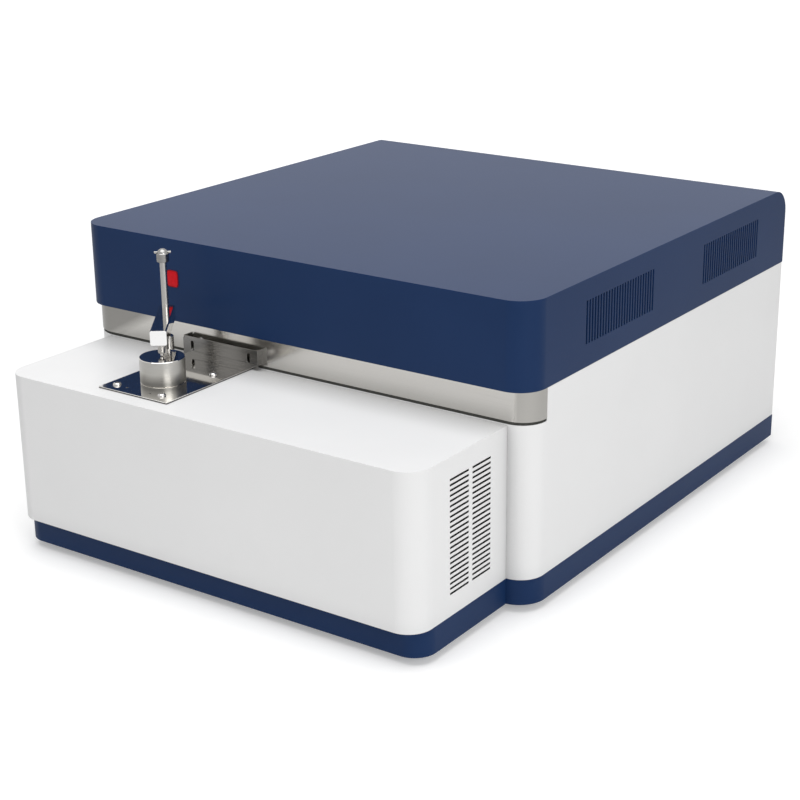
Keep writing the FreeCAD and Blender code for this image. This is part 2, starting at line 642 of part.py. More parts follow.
# Stand bracket
# Folded steel angle behind the sample with an upright slot near each end.
back = bracket_front + bracket_sheet
bracket_parts = [
    block("bracket_wall", (bracket_left, bracket_right), (bracket_front, back), (plate_top, bracket_top)),
    block("bracket_foot", (bracket_left + 2, plate_right - 1), (back, plate_rear + 0.2),
          (plate_top, plate_top + bracket_sheet)),
    block("bracket_end", (bracket_right - bracket_sheet, bracket_right), (back, band_front),
          (band_low, bracket_top)),
    block("bracket_end", (bracket_left, bracket_left + bracket_sheet), (back, band_front),
          (band_low, bracket_top))]
bracket_cuts = [
    block("bracket_relief", (bracket_left - 1, bracket_left + 2.5), (bracket_front - 1, back),
          (bracket_top - 2.5, bracket_top + 1))]
for x in (-144, -58):
    radius = bracket_slot_width / 2
    bracket_cuts.append(block("bracket_slot", (x - radius, x + radius), (bracket_front - 1, back + 1),
                              (bracket_slot_low + radius, bracket_slot_high - radius)))
    for z in (bracket_slot_low + radius, bracket_slot_high - radius):
        bracket_cuts.append(rod("bracket_slot_end", "y", (x, z), (bracket_front - 1, back + 1), radius))
slot_tool = fuse("bracket_slots", *bracket_cuts)
node(cut("bracket", fuse("bracket_joined", *bracket_parts), slot_tool), "stand_bracket")

# Spark chamber
# Aluminium block under the plate with a flange for the screws and ports for light and argon.
chamber_base = size("chamber_base", 150, "underside of the spark chamber")
seat_top = box_top - sheet_wall
spark_parts = [
    block("spark_block", (-144, -74), (-378.5, -308.5), (chamber_base, seat_top)),
    block("spark_flange", (-154, -63), (-395, -308.5), (flange_low, seat_top)),
    block("spark_ear", (-154, -124), (-308.5, -283), (flange_low, seat_top)),
    block("spark_ear", (-94, -63), (-308.5, -283), (flange_low, seat_top)),
    rod("spark_boss", "z", (stand_x, stand_y), (seat_top, box_top), 25)]
spark_cuts = [
    rod("spark_cavity", "z", (stand_x, stand_y), (172, box_top + 1), 15),
    rod("spark_cone", "z", (stand_x, stand_y), (chamber_base - 1, 173), 12),
    rod("spark_light", "y", (stand_x, light_height), (-335, -308), 5),
    rod("spark_barrel", "y", (stand_x, light_height), (-318, -308), 7),
    rod("spark_gas", "x", (stand_y, tube_height), (-150, -70), tube_radius),
    rod("spark_post", "z", (post_x, post_y), (flange_low - 1, seat_top + 1), 5 + slide_gap)]
for at in plate_screws:
    spark_cuts.append(rod("spark_thread", "z", at, (flange_low - 1, seat_top + 1), screw_shank + slide_gap))
node(cut("spark_body", fuse("spark_joined", *spark_parts), *spark_cuts), "spark_chamber")

# Stand pillars
# Four round pillars carry the spark chamber on the plinth floor.
pillars = [rod("pillar", "z", (x, y), (floor_top, chamber_base), 6) for x in (-134, -84) for y in (-368.5,
        -318.5)]
node(gather("pillars", pillars), "stand_pillars")

# Electrode
# Tungsten rod in a brass holder, kept apart from the chamber by a ceramic bush.
tip = plate_top - 3.5
node(turned("insulator", (stand_x, stand_y, 0), [
    (4.05, 144), (17, 144), (17, chamber_base), (11.95, chamber_base), (11.95, 176), (4.05, 176)]),
    "electrode_insulator")
node(turned("holder", (stand_x, stand_y, 0), [
    (0, 114), (8, 114), (8, 134), (10, 134), (10, 144), (4, 144), (4, 190), (1.55, 190), (1.55, 166), (0,
            166)]),
    "electrode_holder")
node(turned("electrode", (stand_x, stand_y, 0), [
    (0, 166), (1.5, 166), (1.5, tip - 1.5), (0.2, tip), (0, tip)]), "counter_electrode")

# Light path
# A lens looks at the spark; a sheathed fibre guide carries the light to the entrance slit.
node(cut("lens_barrel", rod("barrel", "y", (stand_x, light_height), (-318, -290), 6.95),
         rod("lens_seat", "y", (stand_x, light_height), (-319, -312), 5.05),
         rod("guide_bore", "y", (stand_x, light_height), (-313, -289), 3.55)), "lens_holder")
node(common("lens_body", rod("lens_blank", "y", (stand_x, light_height), (-319, -314), 5),
            ball("lens_curve", (stand_x, -304.8, light_height), 14)), "entrance_lens")


def bent_tube(name, path, bend, radius, bore=None):
    """Tube along a path of points with rounded corners; a bent path in space has no simpler form."""
    points = [FreeCAD.Vector(*[lift(v).value for v in point]) for point in path]
    edges = []
    start = points[0]
    for before, corner, after in zip(points, points[1:], points[2:]):
        one = (before - corner).normalize()
        two = (after - corner).normalize()
        angle = one.getAngle(two)
        reach = lift(bend).value / math.tan(angle / 2)
        leave = corner + one * reach
        enter = corner + two * reach
        middle = (one + two).normalize()
        centre = corner + middle * (lift(bend).value / math.sin(angle / 2))
        edges.append(Part.LineSegment(start, leave).toShape())
        edges.append(Part.Arc(leave, centre - middle * lift(bend).value, enter).toShape())
        start = enter
    edges.append(Part.LineSegment(start, points[-1]).toShape())
    wire = Part.Wire(edges)
    direction = points[1] - points[0]

    def swept(value):
        circle = Part.Wire([Part.Circle(points[0], direction, value).toShape()])
        return wire.makePipeShell([circle], True, False, 2)

    shape = swept(lift(radius).value)
    if bore is not None:
        shape = shape.cut(swept(lift(bore).value))
    obj = doc.addObject("Part::Feature", name)
    obj.Shape = shape
    return obj


node(bent_tube("guide", [
    (stand_x, -304, light_height), (stand_x, -273, light_height), (stand_x, -221.3, optics_axis),
    (stand_x, -165, optics_axis)], 26, 3.5), "light_guide")

# Optics chamber
# Cast aluminium trough, closed by a flat cover, that keeps slit, grating and detectors in line.
chamber_floor = chamber_low + 10
chamber_block = block("chamber_block", (chamber_left, chamber_right), (chamber_front, chamber_rear),
                      (chamber_low, chamber_high))
chamber_hollow = block(
    "chamber_hollow", (chamber_left + chamber_wall, chamber_right - chamber_wall),
    (chamber_front + chamber_wall, chamber_rear - chamber_wall), (chamber_floor, chamber_high + 1))
node(cut("chamber", chamber_block, chamber_hollow,
         rod("chamber_port", "y", (stand_x, optics_axis),
             (chamber_front - 1, chamber_front + chamber_wall + 1), 9)),
     "optics_chamber")
node(block("chamber_cover", (chamber_left, chamber_right), (chamber_front, chamber_rear),
           (chamber_high, chamber_high + 6)), "optics_cover")
mount_places = [
    (chamber_left + 38, chamber_front + 75), (chamber_right - 38, chamber_front + 30),
    (chamber_left + 38, chamber_rear - 40), (chamber_right - 38, chamber_rear - 40)]
node(gather("mount_rubbers", [rod("mount_rubber", "z", at, (floor_top, chamber_low),
                                  15) for at in mount_places]),
     "optics_isolators")

# Entrance slit
# Flanged barrel in the chamber wall with a narrow upright slit at its inner end.
slit_parts = [
    rod("slit_flange", "y", (stand_x, optics_axis), (chamber_front - 8, chamber_front), 12),
    rod("slit_barrel", "y", (stand_x, optics_axis), (chamber_front, slit_y), 8.95)]
node(cut("slit", fuse("slit_joined", *slit_parts),
         rod("slit_bore", "y", (stand_x, optics_axis), (chamber_front - 9, slit_y - 1), 3.6),
         block("slit_gap", (stand_x - 0.4, stand_x + 0.4), (slit_y - 2, slit_y + 1),
               (optics_axis - 3, optics_axis + 3))), "entrance_slit")

# Grating
# Concave mirror grating facing the middle of the Rowland circle, in a block on the chamber floor.
grating_disc = rod("grating_disc", "y", (0, 0), (0, 8), 18)
grating_form = cut("grating_form", grating_disc, ball("grating_curve", (0, -2 * circle_radius + 0.5, 0),
                                                      2 * circle_radius))
grating_block = block("grating_block", (-26, 26), (3, 20), (chamber_floor - optics_axis, 28))
grating_foot = block("grating_foot", (-26, 26), (-6, 30),
                     (chamber_floor - optics_axis, chamber_floor - optics_axis + 8))
grating_holder = cut("grating_holder", fuse("grating_stand", grating_block, grating_foot),
                     rod("grating_seat", "y", (0, 0), (2, 8), 18.05))
for item, label in ((grating_form, "grating"), (grating_holder, "grating_mount")):
    item.Placement.Rotation = FreeCAD.Rotation(FreeCAD.Vector(0, 0, 1), incidence.value)
    item.setExpression("Placement.Rotation.Angle", incidence.text)
    node(place(item, stand_x, grating_y, optics_axis), label)

# Detectors
# Line sensors on small boards stand in the sockets of a curved rail along the Rowland circle.
rail_inner = circle_radius - size("rail_inward", 15, "detector rail inside the circle")
rail_outer = circle_radius + size("rail_outward", 11, "detector rail outside the circle")
board_radius = circle_radius + 3
board_thick = 1.6
boards = []
chips = []
sockets = []
for index in range(detector_count):
    angle = detector_first + index * detector_step

    def radial_block(name, near, far, width, z):
        """Box standing across the circle's radius at this detector's direction."""
        obj = doc.addObject("Part::Box", name)
        obj.setExpression("Length", (lift(far) - lift(near)).text)
        obj.setExpression("Width", lift(width).text)
        obj.setExpression("Height", (lift(z[1]) - lift(z[0])).text)
        obj.Placement.Rotation = FreeCAD.Rotation(FreeCAD.Vector(0, 0, 1), angle.value)
        return place(obj, circle_x + near * cosine(angle) + lift(width) / 2 * sine(angle),
                     circle_y + near * sine(angle) - lift(width) / 2 * cosine(angle), z[0])

    boards.append(radial_block("board", board_radius, board_radius + board_thick, 40, (chamber_floor, 150)))
    chips.append(radial_block("chip", circle_radius, board_radius, 32, (optics_axis - 5, optics_axis + 5)))
    sockets.append(radial_block("socket", board_radius - slide_gap, board_radius + board_thick + slide_gap,
                                40 + 2 * slide_gap, (chamber_floor - 1, chamber_floor + 11)))
rail_start = detector_first - 8
rail_disc = rod("rail_disc", "z", (circle_x, circle_y), (chamber_floor, chamber_floor + 10), rail_outer, 112)
turn(rail_disc, (0, 0, 1), rail_start)
rail_bore = rod("rail_bore", "z", (circle_x, circle_y), (chamber_floor - 1, chamber_floor + 11), rail_inner)
node(cut("rail", rail_disc, rail_bore, *sockets), "detector_rail")
node(gather("board_set", boards), "detector_boards")
node(gather("chip_set", chips), "detector_chips")

# Spark source
# Sheet frame in the right half of the front box with storage capacitors and an ignition coil.
source_left = size("source_left", 8, "spark source frame")
source_rear = shell_front - 22
frame_parts = [
    block("source_floor", (source_left, 200), (plinth_front + 10, source_rear), (floor_top, floor_top + 1.5)),
    block("source_wall", (source_left, source_left + 1.5), (plinth_front + 10, source_rear), (floor_top, 180)),
    block("source_rear", (source_left, 200), (source_rear - 1.5, source_rear), (floor_top, 180))]
lead_height = size("lead_height", 122, "high voltage lead")
node(cut("source", fuse("source_joined", *frame_parts),
         rod("source_hole", "x", (stand_y, lead_height), (source_left - 1, source_left + 3),
             5)), "spark_source_frame")
node(gather("capacitor_set", [rod("capacitor", "z", (x, -335), (floor_top + 1.5, 105), 17) for x in (98,
        136, 174)]),
     "spark_capacitors")
node(block("coil", (source_left + 10, 76), (-378, -309), (floor_top + 1.5, 150)), "ignition_coil")
node(rod("lead", "x", (stand_y, lead_height), (stand_x + 8, source_left + 10), 3.5), "spark_lead")

# Electronics on the deck
# Cased power supply and the populated control board on the deck's studs, cooled through the cover's grilles.
supply_case = block("supply_case", (-260, -60), (60, 270), (lid_low, 312))
supply_hollow = block("supply_hollow", (-258.5, -61.5), (61.5, 268.5), (lid_low + 1.5, 310.5))
supply_slots = [block("supply_slot", (-270, -50), (y, y + 4), (270, 300)) for y in range(90, 241, 15)]
node(cut("supply", supply_case, supply_hollow, *supply_slots), "power_supply")
board_parts = [block("control_sheet", (5, 245), (-15, 195), (board_low, board_low + 1.6))]
for x, y, wide, deep, high in ((60, 60, 40, 40, 3), (130, 70, 30, 30, 3), (180, 120, 45, 60, 22),
                               (30, 130, 70, 20, 12), (120, 5, 60, 12, 14)):
    board_parts.append(block("control_chip", (x, x + wide), (y, y + deep),
                             (board_low + 1.6, board_low + 1.6 + high)))
node(fuse("control", *board_parts), "control_board")

# Argon supply
# Valve unit behind the optics and thin tubes from the inlet to the spark chamber and on to the exhaust.
valve_parts = [block("valve_block", (gas_in_x - 35, gas_in_x + 35), (250, 300), (floor_top, gas_in_z + 15))]
for x in (gas_in_x - 16, gas_in_x + 16):
    valve_parts.append(rod("solenoid", "z", (x, 275), (gas_in_z + 14, 140), 13))
node(cut("valves", fuse("valves_joined", *valve_parts),
         rod("valve_in", "y", (gas_in_x, gas_in_z), (290, 301), tube_radius + slide_gap),
         rod("valve_out", "y", (gas_in_x - 20, gas_in_z), (249, 260),
             tube_radius + slide_gap)), "argon_valve_unit")
supply_tube = rod("supply_tube", "y", (gas_in_x, gas_in_z), (290, shank_end), tube_radius)
feed_tube = bent_tube("feed_tube", [
    (gas_in_x - 20, 260, gas_in_z), (gas_in_x - 20, 234, gas_in_z), (gas_in_x - 20, 234, tube_height),
    (gas_in_x - 20, stand_y, tube_height),
    (-82, stand_y, tube_height)], 12, tube_radius)
waste_tube = bent_tube("waste_tube", [
    (-136, stand_y, tube_height), (gas_out_x, stand_y, tube_height), (gas_out_x, 350, tube_height),
    (gas_out_x, 350, gas_out_z), (gas_out_x, shank_end, gas_out_z)], 14, tube_radius)
node(gather("tube_set", [supply_tube, feed_tube, waste_tube]), "gas_tubes")

# Rear panel
# White plate screwed to the shell's rear flanges, cut out for fans, inlet, switch and ports.
panel_cuts = []
fan_places = (-fan_offset, fan_offset)
for x in fan_places:
    panel_cuts.append(rod("fan_opening", "y", (x, fan_height), (panel_inside - 1, shell_rear + 1),
                          fan_bore - 1))
    for dx in (-fan_screw, fan_screw):
        for dz in (-fan_screw, fan_screw):
            panel_cuts.append(rod("fan_hole", "y", (x + dx, fan_height + dz),
                                  (panel_inside - 1, shell_rear + 1),
                                  small_shank + slide_gap))
for z in panel_screw_z:
    for x in (-panel_screw_x, panel_screw_x):
        panel_cuts.append(rod("panel_hole", "y", (x, z), (panel_inside - 1, shell_rear + 1),
                              small_shank + slide_gap))
through = (panel_inside - 1, shell_rear + 1)
panel_cuts.append(block("inlet_cutout", (inlet_x - 14, inlet_x + 14), through,
                        (inlet_z - 10.4, inlet_z + 10.4)))
panel_cuts.append(block("switch_cutout", (inlet_x - 13.2, inlet_x + 13.2), through,
                        (switch_z - 10.2, switch_z + 10.2)))
panel_cuts.append(rod("gas_hole", "y", (gas_in_x, gas_in_z), through, 6 + slide_gap))
panel_cuts.append(rod("gas_hole", "y", (gas_out_x, gas_out_z), through, 6 + slide_gap))
panel_cuts.append(block("port_cutout", (port_x - 14, port_x + 44), through, (inlet_z - 12, inlet_z + 12)))
panel_plate = block("panel_plate", (-inside + seam, inside - seam), (panel_inside, shell_rear),
                    (plinth_top, deck_low))
node(cut("panel", panel_plate, *panel_cuts), "rear_panel")

# Panel screws
# The same round-headed screws hold the rear panel to the shell and the top cover to the deck's tabs.
panel_screw = [(0, -8), (small_shank, -8), (small_shank, 0), (3.8, 0), (3.4, 1.6), (2.2, 2.2), (0, 2.2)]
panel_bolts = [turned("panel_bolt", (x, shell_rear, z), panel_screw,
                      "y") for z in panel_screw_z for x in (-panel_screw_x, panel_screw_x)]
panel_bolts += [turned("cover_bolt", (x, lid_rear, cover_screw_z), panel_screw, "y") for x in cover_screw_x]
node(gather("panel_bolt_set", panel_bolts), "panel_screws")

# Fans
# Square frames behind the panel; each rotor turns on its motor base inside the frame's bore.
fan_near = panel_inside - fan_depth
frames = []
guards = []
fan_bolts = []
for x in fan_places:
    side = fan_side / 2
    casing = cut("fan_casing", block("fan_square", (x - side, x + side), (fan_near, panel_inside),
                                     (fan_height - side, fan_height + side)),
                 rod("fan_bore", "y", (x, fan_height), (fan_near - 1, panel_inside + 1), fan_bore))
    spokes = [rod("fan_base", "y", (x, fan_height), (fan_near, fan_near + 3), 17)]
    spokes.append(block("fan_spoke", (x - fan_bore - 1, x + fan_bore + 1), (fan_near, fan_near + 2.4),
                        (fan_height - 2, fan_height + 2)))
    spokes.append(block("fan_spoke", (x - 2, x + 2), (fan_near, fan_near + 2.4),
                        (fan_height - fan_bore - 1, fan_height + fan_bore + 1)))
    holes = []
    for dx in (-fan_screw, fan_screw):
        for dz in (-fan_screw, fan_screw):
            holes.append(rod("frame_hole", "y", (x + dx, fan_height + dz), (fan_near - 1, panel_inside + 1),
                             small_shank + slide_gap))
            fan_bolts.append(fuse(
                "fan_bolt", rod("fan_shank", "y", (x + dx, fan_height + dz),
                                (fan_near + 2, shell_rear + 1.5), small_shank),
                rod("fan_head", "y", (x + dx, fan_height + dz), (shell_rear + 1.5, shell_rear + 3.7), 3.6)))
    frames.append(cut("fan_frame", fuse("fan_joined", casing, *spokes), *holes))
    out = (shell_rear, shell_rear + 1.5)
    rings = []
    for outer, inner in ((43, 41), (31, 29), (19, 17)):
        rings.append(cut("guard_ring", rod("guard_outer", "y", (x, fan_height), out, outer),
                         rod("guard_inner", "y", (x, fan_height), (shell_rear - 1, shell_rear + 3), inner)))
    for slope in (45, -45):
        bar = doc.addObject("Part::Box", "guard_bar")
        bar.Length = 126
        bar.Width = 1.5
        bar.Height = 6
        bar.Placement.Rotation = FreeCAD.Rotation(FreeCAD.Vector(0, 1, 0), slope)
        corner = bar.Placement.Rotation.multVec(FreeCAD.Vector(-63, 0, -3))
        place(bar, x + corner.x, shell_rear, fan_height + corner.z)
        rings.append(bar)
    guard_holes = [rod("guard_hole", "y", (x + dx, fan_height + dz), (shell_rear - 1, shell_rear + 3),
                       small_shank + slide_gap)
                   for dx in (-fan_screw, fan_screw) for dz in (-fan_screw, fan_screw)]
    guards.append(cut("guard", fuse("guard_joined", *rings), *guard_holes))
node(gather("frame_set", frames), "fan_frames")
node(gather("guard_set", guards), "fan_guards")
node(gather("fan_bolt_set", fan_bolts), "fan_screws")
blade_count = 7
blade_pitch = size("blade_pitch", 35, "fan blades")
for x, label in zip(fan_places, ("fan_rotor_left", "fan_rotor_right")):
    parts = [rod("rotor_hub", "y", (x, fan_height), (fan_near + 3.5, panel_inside - 2), 17)]
    for index in range(blade_count):
        blade = doc.addObject("Part::Box", "rotor_blade")
        blade.Length = 26
        blade.Width = 17
        blade.Height = 1.4
        about = FreeCAD.Rotation(FreeCAD.Vector(0, 1, 0), 360.0 * index / blade_count)
        tilt = FreeCAD.Rotation(FreeCAD.Vector(1, 0, 0), blade_pitch.value)
        blade.Placement.Rotation = about.multiply(tilt)
        corner = blade.Placement.Rotation.multVec(FreeCAD.Vector(16, -8.5, -0.7))
        place(blade, x + corner.x, fan_near + 13 + corner.y, fan_height + corner.z)
        parts.append(blade)
    node(fuse("rotor", *parts), label)

# Mains inlet
# Three-pin snap-in appliance inlet, its pins standing inside the recess.
inlet_flange = block("inlet_flange", (inlet_x - 17, inlet_x + 17), (shell_rear, shell_rear + 3),
                     (inlet_z - 13.5, inlet_z + 13.5))
inlet_body = block("inlet_body", (inlet_x - 13.8, inlet_x + 13.8), (376.7, shell_rear),
                   (inlet_z - 10.2, inlet_z + 10.2))
inlet_recess = block("inlet_recess", (inlet_x - 12.3, inlet_x + 12.3), (380, shell_rear + 4),
                     (inlet_z - 8.4, inlet_z + 8.4))
pin_places = ((inlet_x, inlet_z + 2), (inlet_x - 7, inlet_z - 2), (inlet_x + 7, inlet_z - 2))
pins = []
pin_holes = []
for px, pz in pin_places:
    pins.append(block("inlet_pin", (px - 1, px + 1), (370, 395), (pz - 2, pz + 2)))
    pin_holes.append(block("inlet_pin_hole", (px - 1, px + 1), (370, 381), (pz - 2, pz + 2)))
node(cut("inlet", fuse("inlet_joined", inlet_flange, inlet_body), inlet_recess, *pin_holes), "mains_inlet")
node(gather("inlet_pin_set", pins), "mains_inlet_pins")

# Mains switch
# Rocker in a snap-in housing; the rocker turns on a level axis through the housing.
switch_bezel = block("switch_bezel", (inlet_x - 16, inlet_x + 16), (shell_rear, shell_rear + 2),
                     (switch_z - 12.5, switch_z + 12.5))
switch_body = block("switch_body", (inlet_x - 13, inlet_x + 13), (377, shell_rear),
                    (switch_z - 10, switch_z + 10))
switch_window = block("switch_window", (inlet_x - 10.5, inlet_x + 10.5), (380, shell_rear + 3),
                      (switch_z - 8.9, switch_z + 8.9))
switch_pivot = size("switch_pivot", 391.5, "rocker axis")
pivot_radius = size("pivot_radius", 1.2, "round pivots of the rocker")
switch_seat = rod("switch_seat", "x", (switch_pivot, switch_z), (inlet_x - 12.1, inlet_x + 12.1),
                  pivot_radius + slide_gap)
node(cut("switch", fuse("switch_joined", switch_bezel, switch_body), switch_window, switch_seat),
     "switch_housing")
rocker_half = size("rocker_half", 10.2, "half width of the rocker")
rocker_tilt = size("rocker_tilt", 10, "rocker position")
rocker = prism("rocker", "x", (-rocker_half, rocker_half), [[
    (-5, -4), (2.5, -7.2), (7, -7), (5.4, 0), (7, 7), (2.5, 7.2), (-5, 4)]])
rocker.Placement.Rotation = FreeCAD.Rotation(FreeCAD.Vector(1, 0, 0), rocker_tilt.value)
place(rocker, inlet_x, switch_pivot, switch_z)
rocker_pins = rod("rocker_pins", "x", (switch_pivot, switch_z), (inlet_x - 12, inlet_x + 12), pivot_radius)
node(fuse("rocker_joined", rocker, rocker_pins), "switch_rocker")

# Data ports
# Tinned steel plate over a cutout of the rear panel, with a network and a square serial socket behind it.
port_face = (shell_rear, shell_rear + 1.2)
port_parts = [block("port_plate", (port_x - 17, port_x + 47), port_face, (inlet_z - 15, inlet_z + 15))]
port_mouths = []
for x, side, high, mouth, mouth_high in ((port_x, 8.5, 7.5, 6, 4.5), (port_x + 30, 7, 7, 4.3, 4)):
    port_parts.append(block("port_shell", (x - side, x + side), (shell_rear - 20.7, shell_rear),
                            (inlet_z - high, inlet_z + high)))
    port_mouths.append(block("port_mouth", (x - mouth, x + mouth), (shell_rear - 12.7, shell_rear + 2),
                             (inlet_z - mouth_high, inlet_z + mouth_high)))
node(cut("ports", fuse("ports_joined", *port_parts), *port_mouths), "data_ports")

# Gas fittings
# Brass bulkhead fittings: a threaded nose for argon in and a plain tube stub for the exhaust.
nose_radius = size("nose_radius", 6, "threaded nose of the argon inlet")
stub_radius = size("stub_radius", 3, "tube stub of the exhaust")
inlet_solid = fuse("gas_in_solid", rod("gas_in_shank", "y", (gas_in_x, gas_in_z),
                                       (shank_end, fitting_reach), nose_radius),
                   hexagon("gas_in_hexagon", "y", (gas_in_x, gas_in_z), (shell_rear, shell_rear + 8), 17))
node(cut("gas_in", inlet_solid, rod("gas_in_bore", "y", (gas_in_x, gas_in_z),
                                    (shank_end - 1, fitting_reach + 1), tube_radius)),
     "argon_inlet_fitting")
stub_from = shell_rear + 6
exhaust_solid = fuse(
    "gas_out_solid",
    rod("gas_out_shank", "y", (gas_out_x, gas_out_z), (shank_end, shell_rear + 1), nose_radius),
    hexagon("gas_out_hexagon", "y", (gas_out_x, gas_out_z), (shell_rear, stub_from), 17),
    rod("gas_out_stub", "y", (gas_out_x, gas_out_z), (stub_from - 1, fitting_reach), stub_radius))
node(cut("gas_out", exhaust_solid,
         rod("gas_out_low_bore", "y", (gas_out_x, gas_out_z), (shank_end - 1, panel_inside), tube_radius),
         rod("gas_out_bore", "y", (gas_out_x, gas_out_z), (panel_inside - 1, fitting_reach + 1),
             2)), "argon_exhaust_fitting")
nuts = []
for at in ((gas_in_x, gas_in_z), (gas_out_x, gas_out_z)):
    nuts.append(cut("gas_nut", hexagon("gas_nut_blank", "y", at, (panel_inside - 5, panel_inside), 17),
                    rod("gas_nut_bore", "y", at, (panel_inside - 6, panel_inside + 1),
                        nose_radius + slide_gap)))
node(gather("gas_nut_set", nuts), "gas_fitting_nuts")

# Post sleeve
# Steel guide for the clamp post, screwed through the plate into the spark chamber's flange.
sleeve_foot = size("sleeve_foot", 203, "lower end of the sleeve")
sleeve_floor = sleeve_foot + 3
node(turned("sleeve", (post_x, post_y, 0), [
    (0, sleeve_foot), (5, sleeve_foot), (5, plate_top), (sleeve_radius, plate_top),
    (sleeve_radius, sleeve_top - 0.8), (sleeve_radius - 0.8, sleeve_top), (post_radius + slide_gap, sleeve_top),
    (post_radius + slide_gap, sleeve_floor), (0, sleeve_floor)]), "post_sleeve")

# Clamp post
# Ground steel post that turns in the sleeve, with a domed knob and its cross pin on top.
post_end = knob_low + size("post_in_knob", 6, "post inside the knob")
node(turned("post", (post_x, post_y, 0), [
    (0, sleeve_floor + slide_gap), (post_radius - 0.5, sleeve_floor + slide_gap),
    (post_radius, sleeve_floor + 0.5), (post_radius, post_end), (0, post_end)]), "clamp_post")
knob_skirt = turned("knob_skirt", (post_x, post_y, 0), [
    (0, knob_low), (knob_radius - 0.8, knob_low), (knob_radius, knob_low + 0.8),
    (knob_radius, knob_edge - 0.6), (knob_radius - 0.6, knob_edge), (0, knob_edge)])
knob_cap = common("knob_cap", rod("knob_cap_rod", "z", (post_x, post_y), (knob_edge - 1, knob_top + 1),
                                  knob_cap_radius),
                  ball("knob_cap_ball", (post_x, post_y, knob_top - knob_dome), knob_dome))
cross_way = FreeCAD.Vector(math.cos(math.radians(cross_angle.value)),
                           math.sin(math.radians(cross_angle.value)), 0)


def cross_rod(name, length, radius):
    """Level rod through the knob in the cross pin's direction."""
    obj = doc.addObject("Part::Cylinder", name)
    obj.setExpression("Radius", lift(radius).text)
    obj.setExpression("Height", lift(length).text)
    obj.Placement.Rotation = FreeCAD.Rotation(FreeCAD.Vector(0, 0, 1), cross_way)
    return place(obj, post_x - lift(length) / 2 * cosine(cross_angle),
                 post_y - lift(length) / 2 * sine(cross_angle), cross_height)


node(cut("knob", fuse("knob_joined", knob_skirt, knob_cap),
         rod("knob_bore", "z", (post_x, post_y), (knob_low - 1, post_end), post_radius + slide_gap / 2),
         cross_rod("knob_cross_hole", 30, cross_radius + slide_gap / 2)), "clamp_knob")
node(cross_rod("cross_pin", cross_length, cross_radius), "knob_cross_pin")

# Clamp arm
# Polished square bar on the post with the spring-loaded pressure pin over the sample.
arm_half = arm_width / 2
arm_top = arm_low + arm_height
arm_bar = prism("arm_bar", "x", (-arm_tail, pin_reach + arm_nose), [[
    (-arm_half, arm_low + arm_bevel), (-arm_half + arm_bevel, arm_low), (arm_half - arm_bevel, arm_low),
    (arm_half, arm_low + arm_bevel), (arm_half, arm_top - arm_bevel), (arm_half - arm_bevel, arm_top),
    (-arm_half + arm_bevel, arm_top), (-arm_half, arm_top - arm_bevel)]])
arm_bar.setExpression("Placement.Rotation.Angle", arm_angle.text)
arm_bar.Placement.Rotation.Axis = FreeCAD.Vector(0, 0, 1)
place(arm_bar, post_x, post_y, 0)
pin_room = size("pin_room", 284.5, "top of the pin's bore in the arm")
node(cut("arm", arm_bar, rod("arm_post_bore", "z", (post_x, post_y), (arm_low - 1, arm_top + 1),
                             post_radius + slide_gap),
         rod("arm_pin_bore", "z", (stand_x, stand_y), (arm_low - 1, pin_room), 3.5)), "clamp_arm")
collar_low = size("collar_low", 254, "lower end of the pin collar")
node(turned("collar", (stand_x, stand_y, 0), [
    (pin_radius + slide_gap, collar_low), (3.8, collar_low), (5.85, arm_low), (3.48, arm_low), (3.48,
            arm_low + 4),
    (pin_radius + slide_gap, arm_low + 4)]), "pin_collar")
sample_top = plate_top + slide_gap + sample_height
pin_tip = sample_top + pin_gap
node(turned("pressure_pin", (stand_x, stand_y, 0), [
    (0, pin_tip), (1, pin_tip), (pin_radius, pin_tip + 0.8), (pin_radius, arm_low + 4 + slide_gap),
    (3.2, arm_low + 4 + slide_gap), (3.2, arm_low + 6), (1.2, arm_low + 6), (1.2, arm_low + 9), (0,
            arm_low + 9)]),
    "pressure_pin")

# Pin spring
# Small coil spring between the pin's head and the blind end of its bore.
wire_radius = size("wire_radius", 0.3, "spring wire")
spring_low = arm_low + 6 + wire_radius
coil_body = doc.addObject("PartDesign::Body", "spring")
coil_profile = drawing(coil_body, "spring_wire", "XZ_Plane", 0, [], [(2.4, spring_low, wire_radius)])
coil = coil_body.newObject("PartDesign::AdditiveHelix", "spring_coil")
coil.Profile = coil_profile
coil.ReferenceAxis = (coil_profile, ["V_Axis"])
coil.Mode = 0
coil.Pitch = 1.95
coil.setExpression("Height", (pin_room - spring_low - wire_radius).text)
node(place(coil_body, stand_x, stand_y, 0), "pin_spring")

# Metal sample
# Polished disc of the metal under test, lying over the spark opening.
node(turned("sample", (stand_x, stand_y, plate_top + slide_gap), [
    (0, 0), (sample_radius - 0.6, 0), (sample_radius, 0.6), (sample_radius, sample_height - 0.6),
    (sample_radius - 0.6, sample_height), (0, sample_height)]), "metal_sample")

doc.recompute()

faults = [item.Label for item in doc.Objects if "Invalid" in item.State or "Error" in item.State]
if faults:
    raise RuntimeError("objects that did not build: " + ", ".join(faults))
os.makedirs("parts", exist_ok=True)
for item in nodes:
    shape = item.Shape
    if shape.isNull() or not shape.isValid() or not shape.Solids:
        raise RuntimeError("node %s has no valid solid" % item.Label)
    shape.exportStep("parts/%s.step" % item.Label)
print("nodes written:", len(nodes))
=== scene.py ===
import math

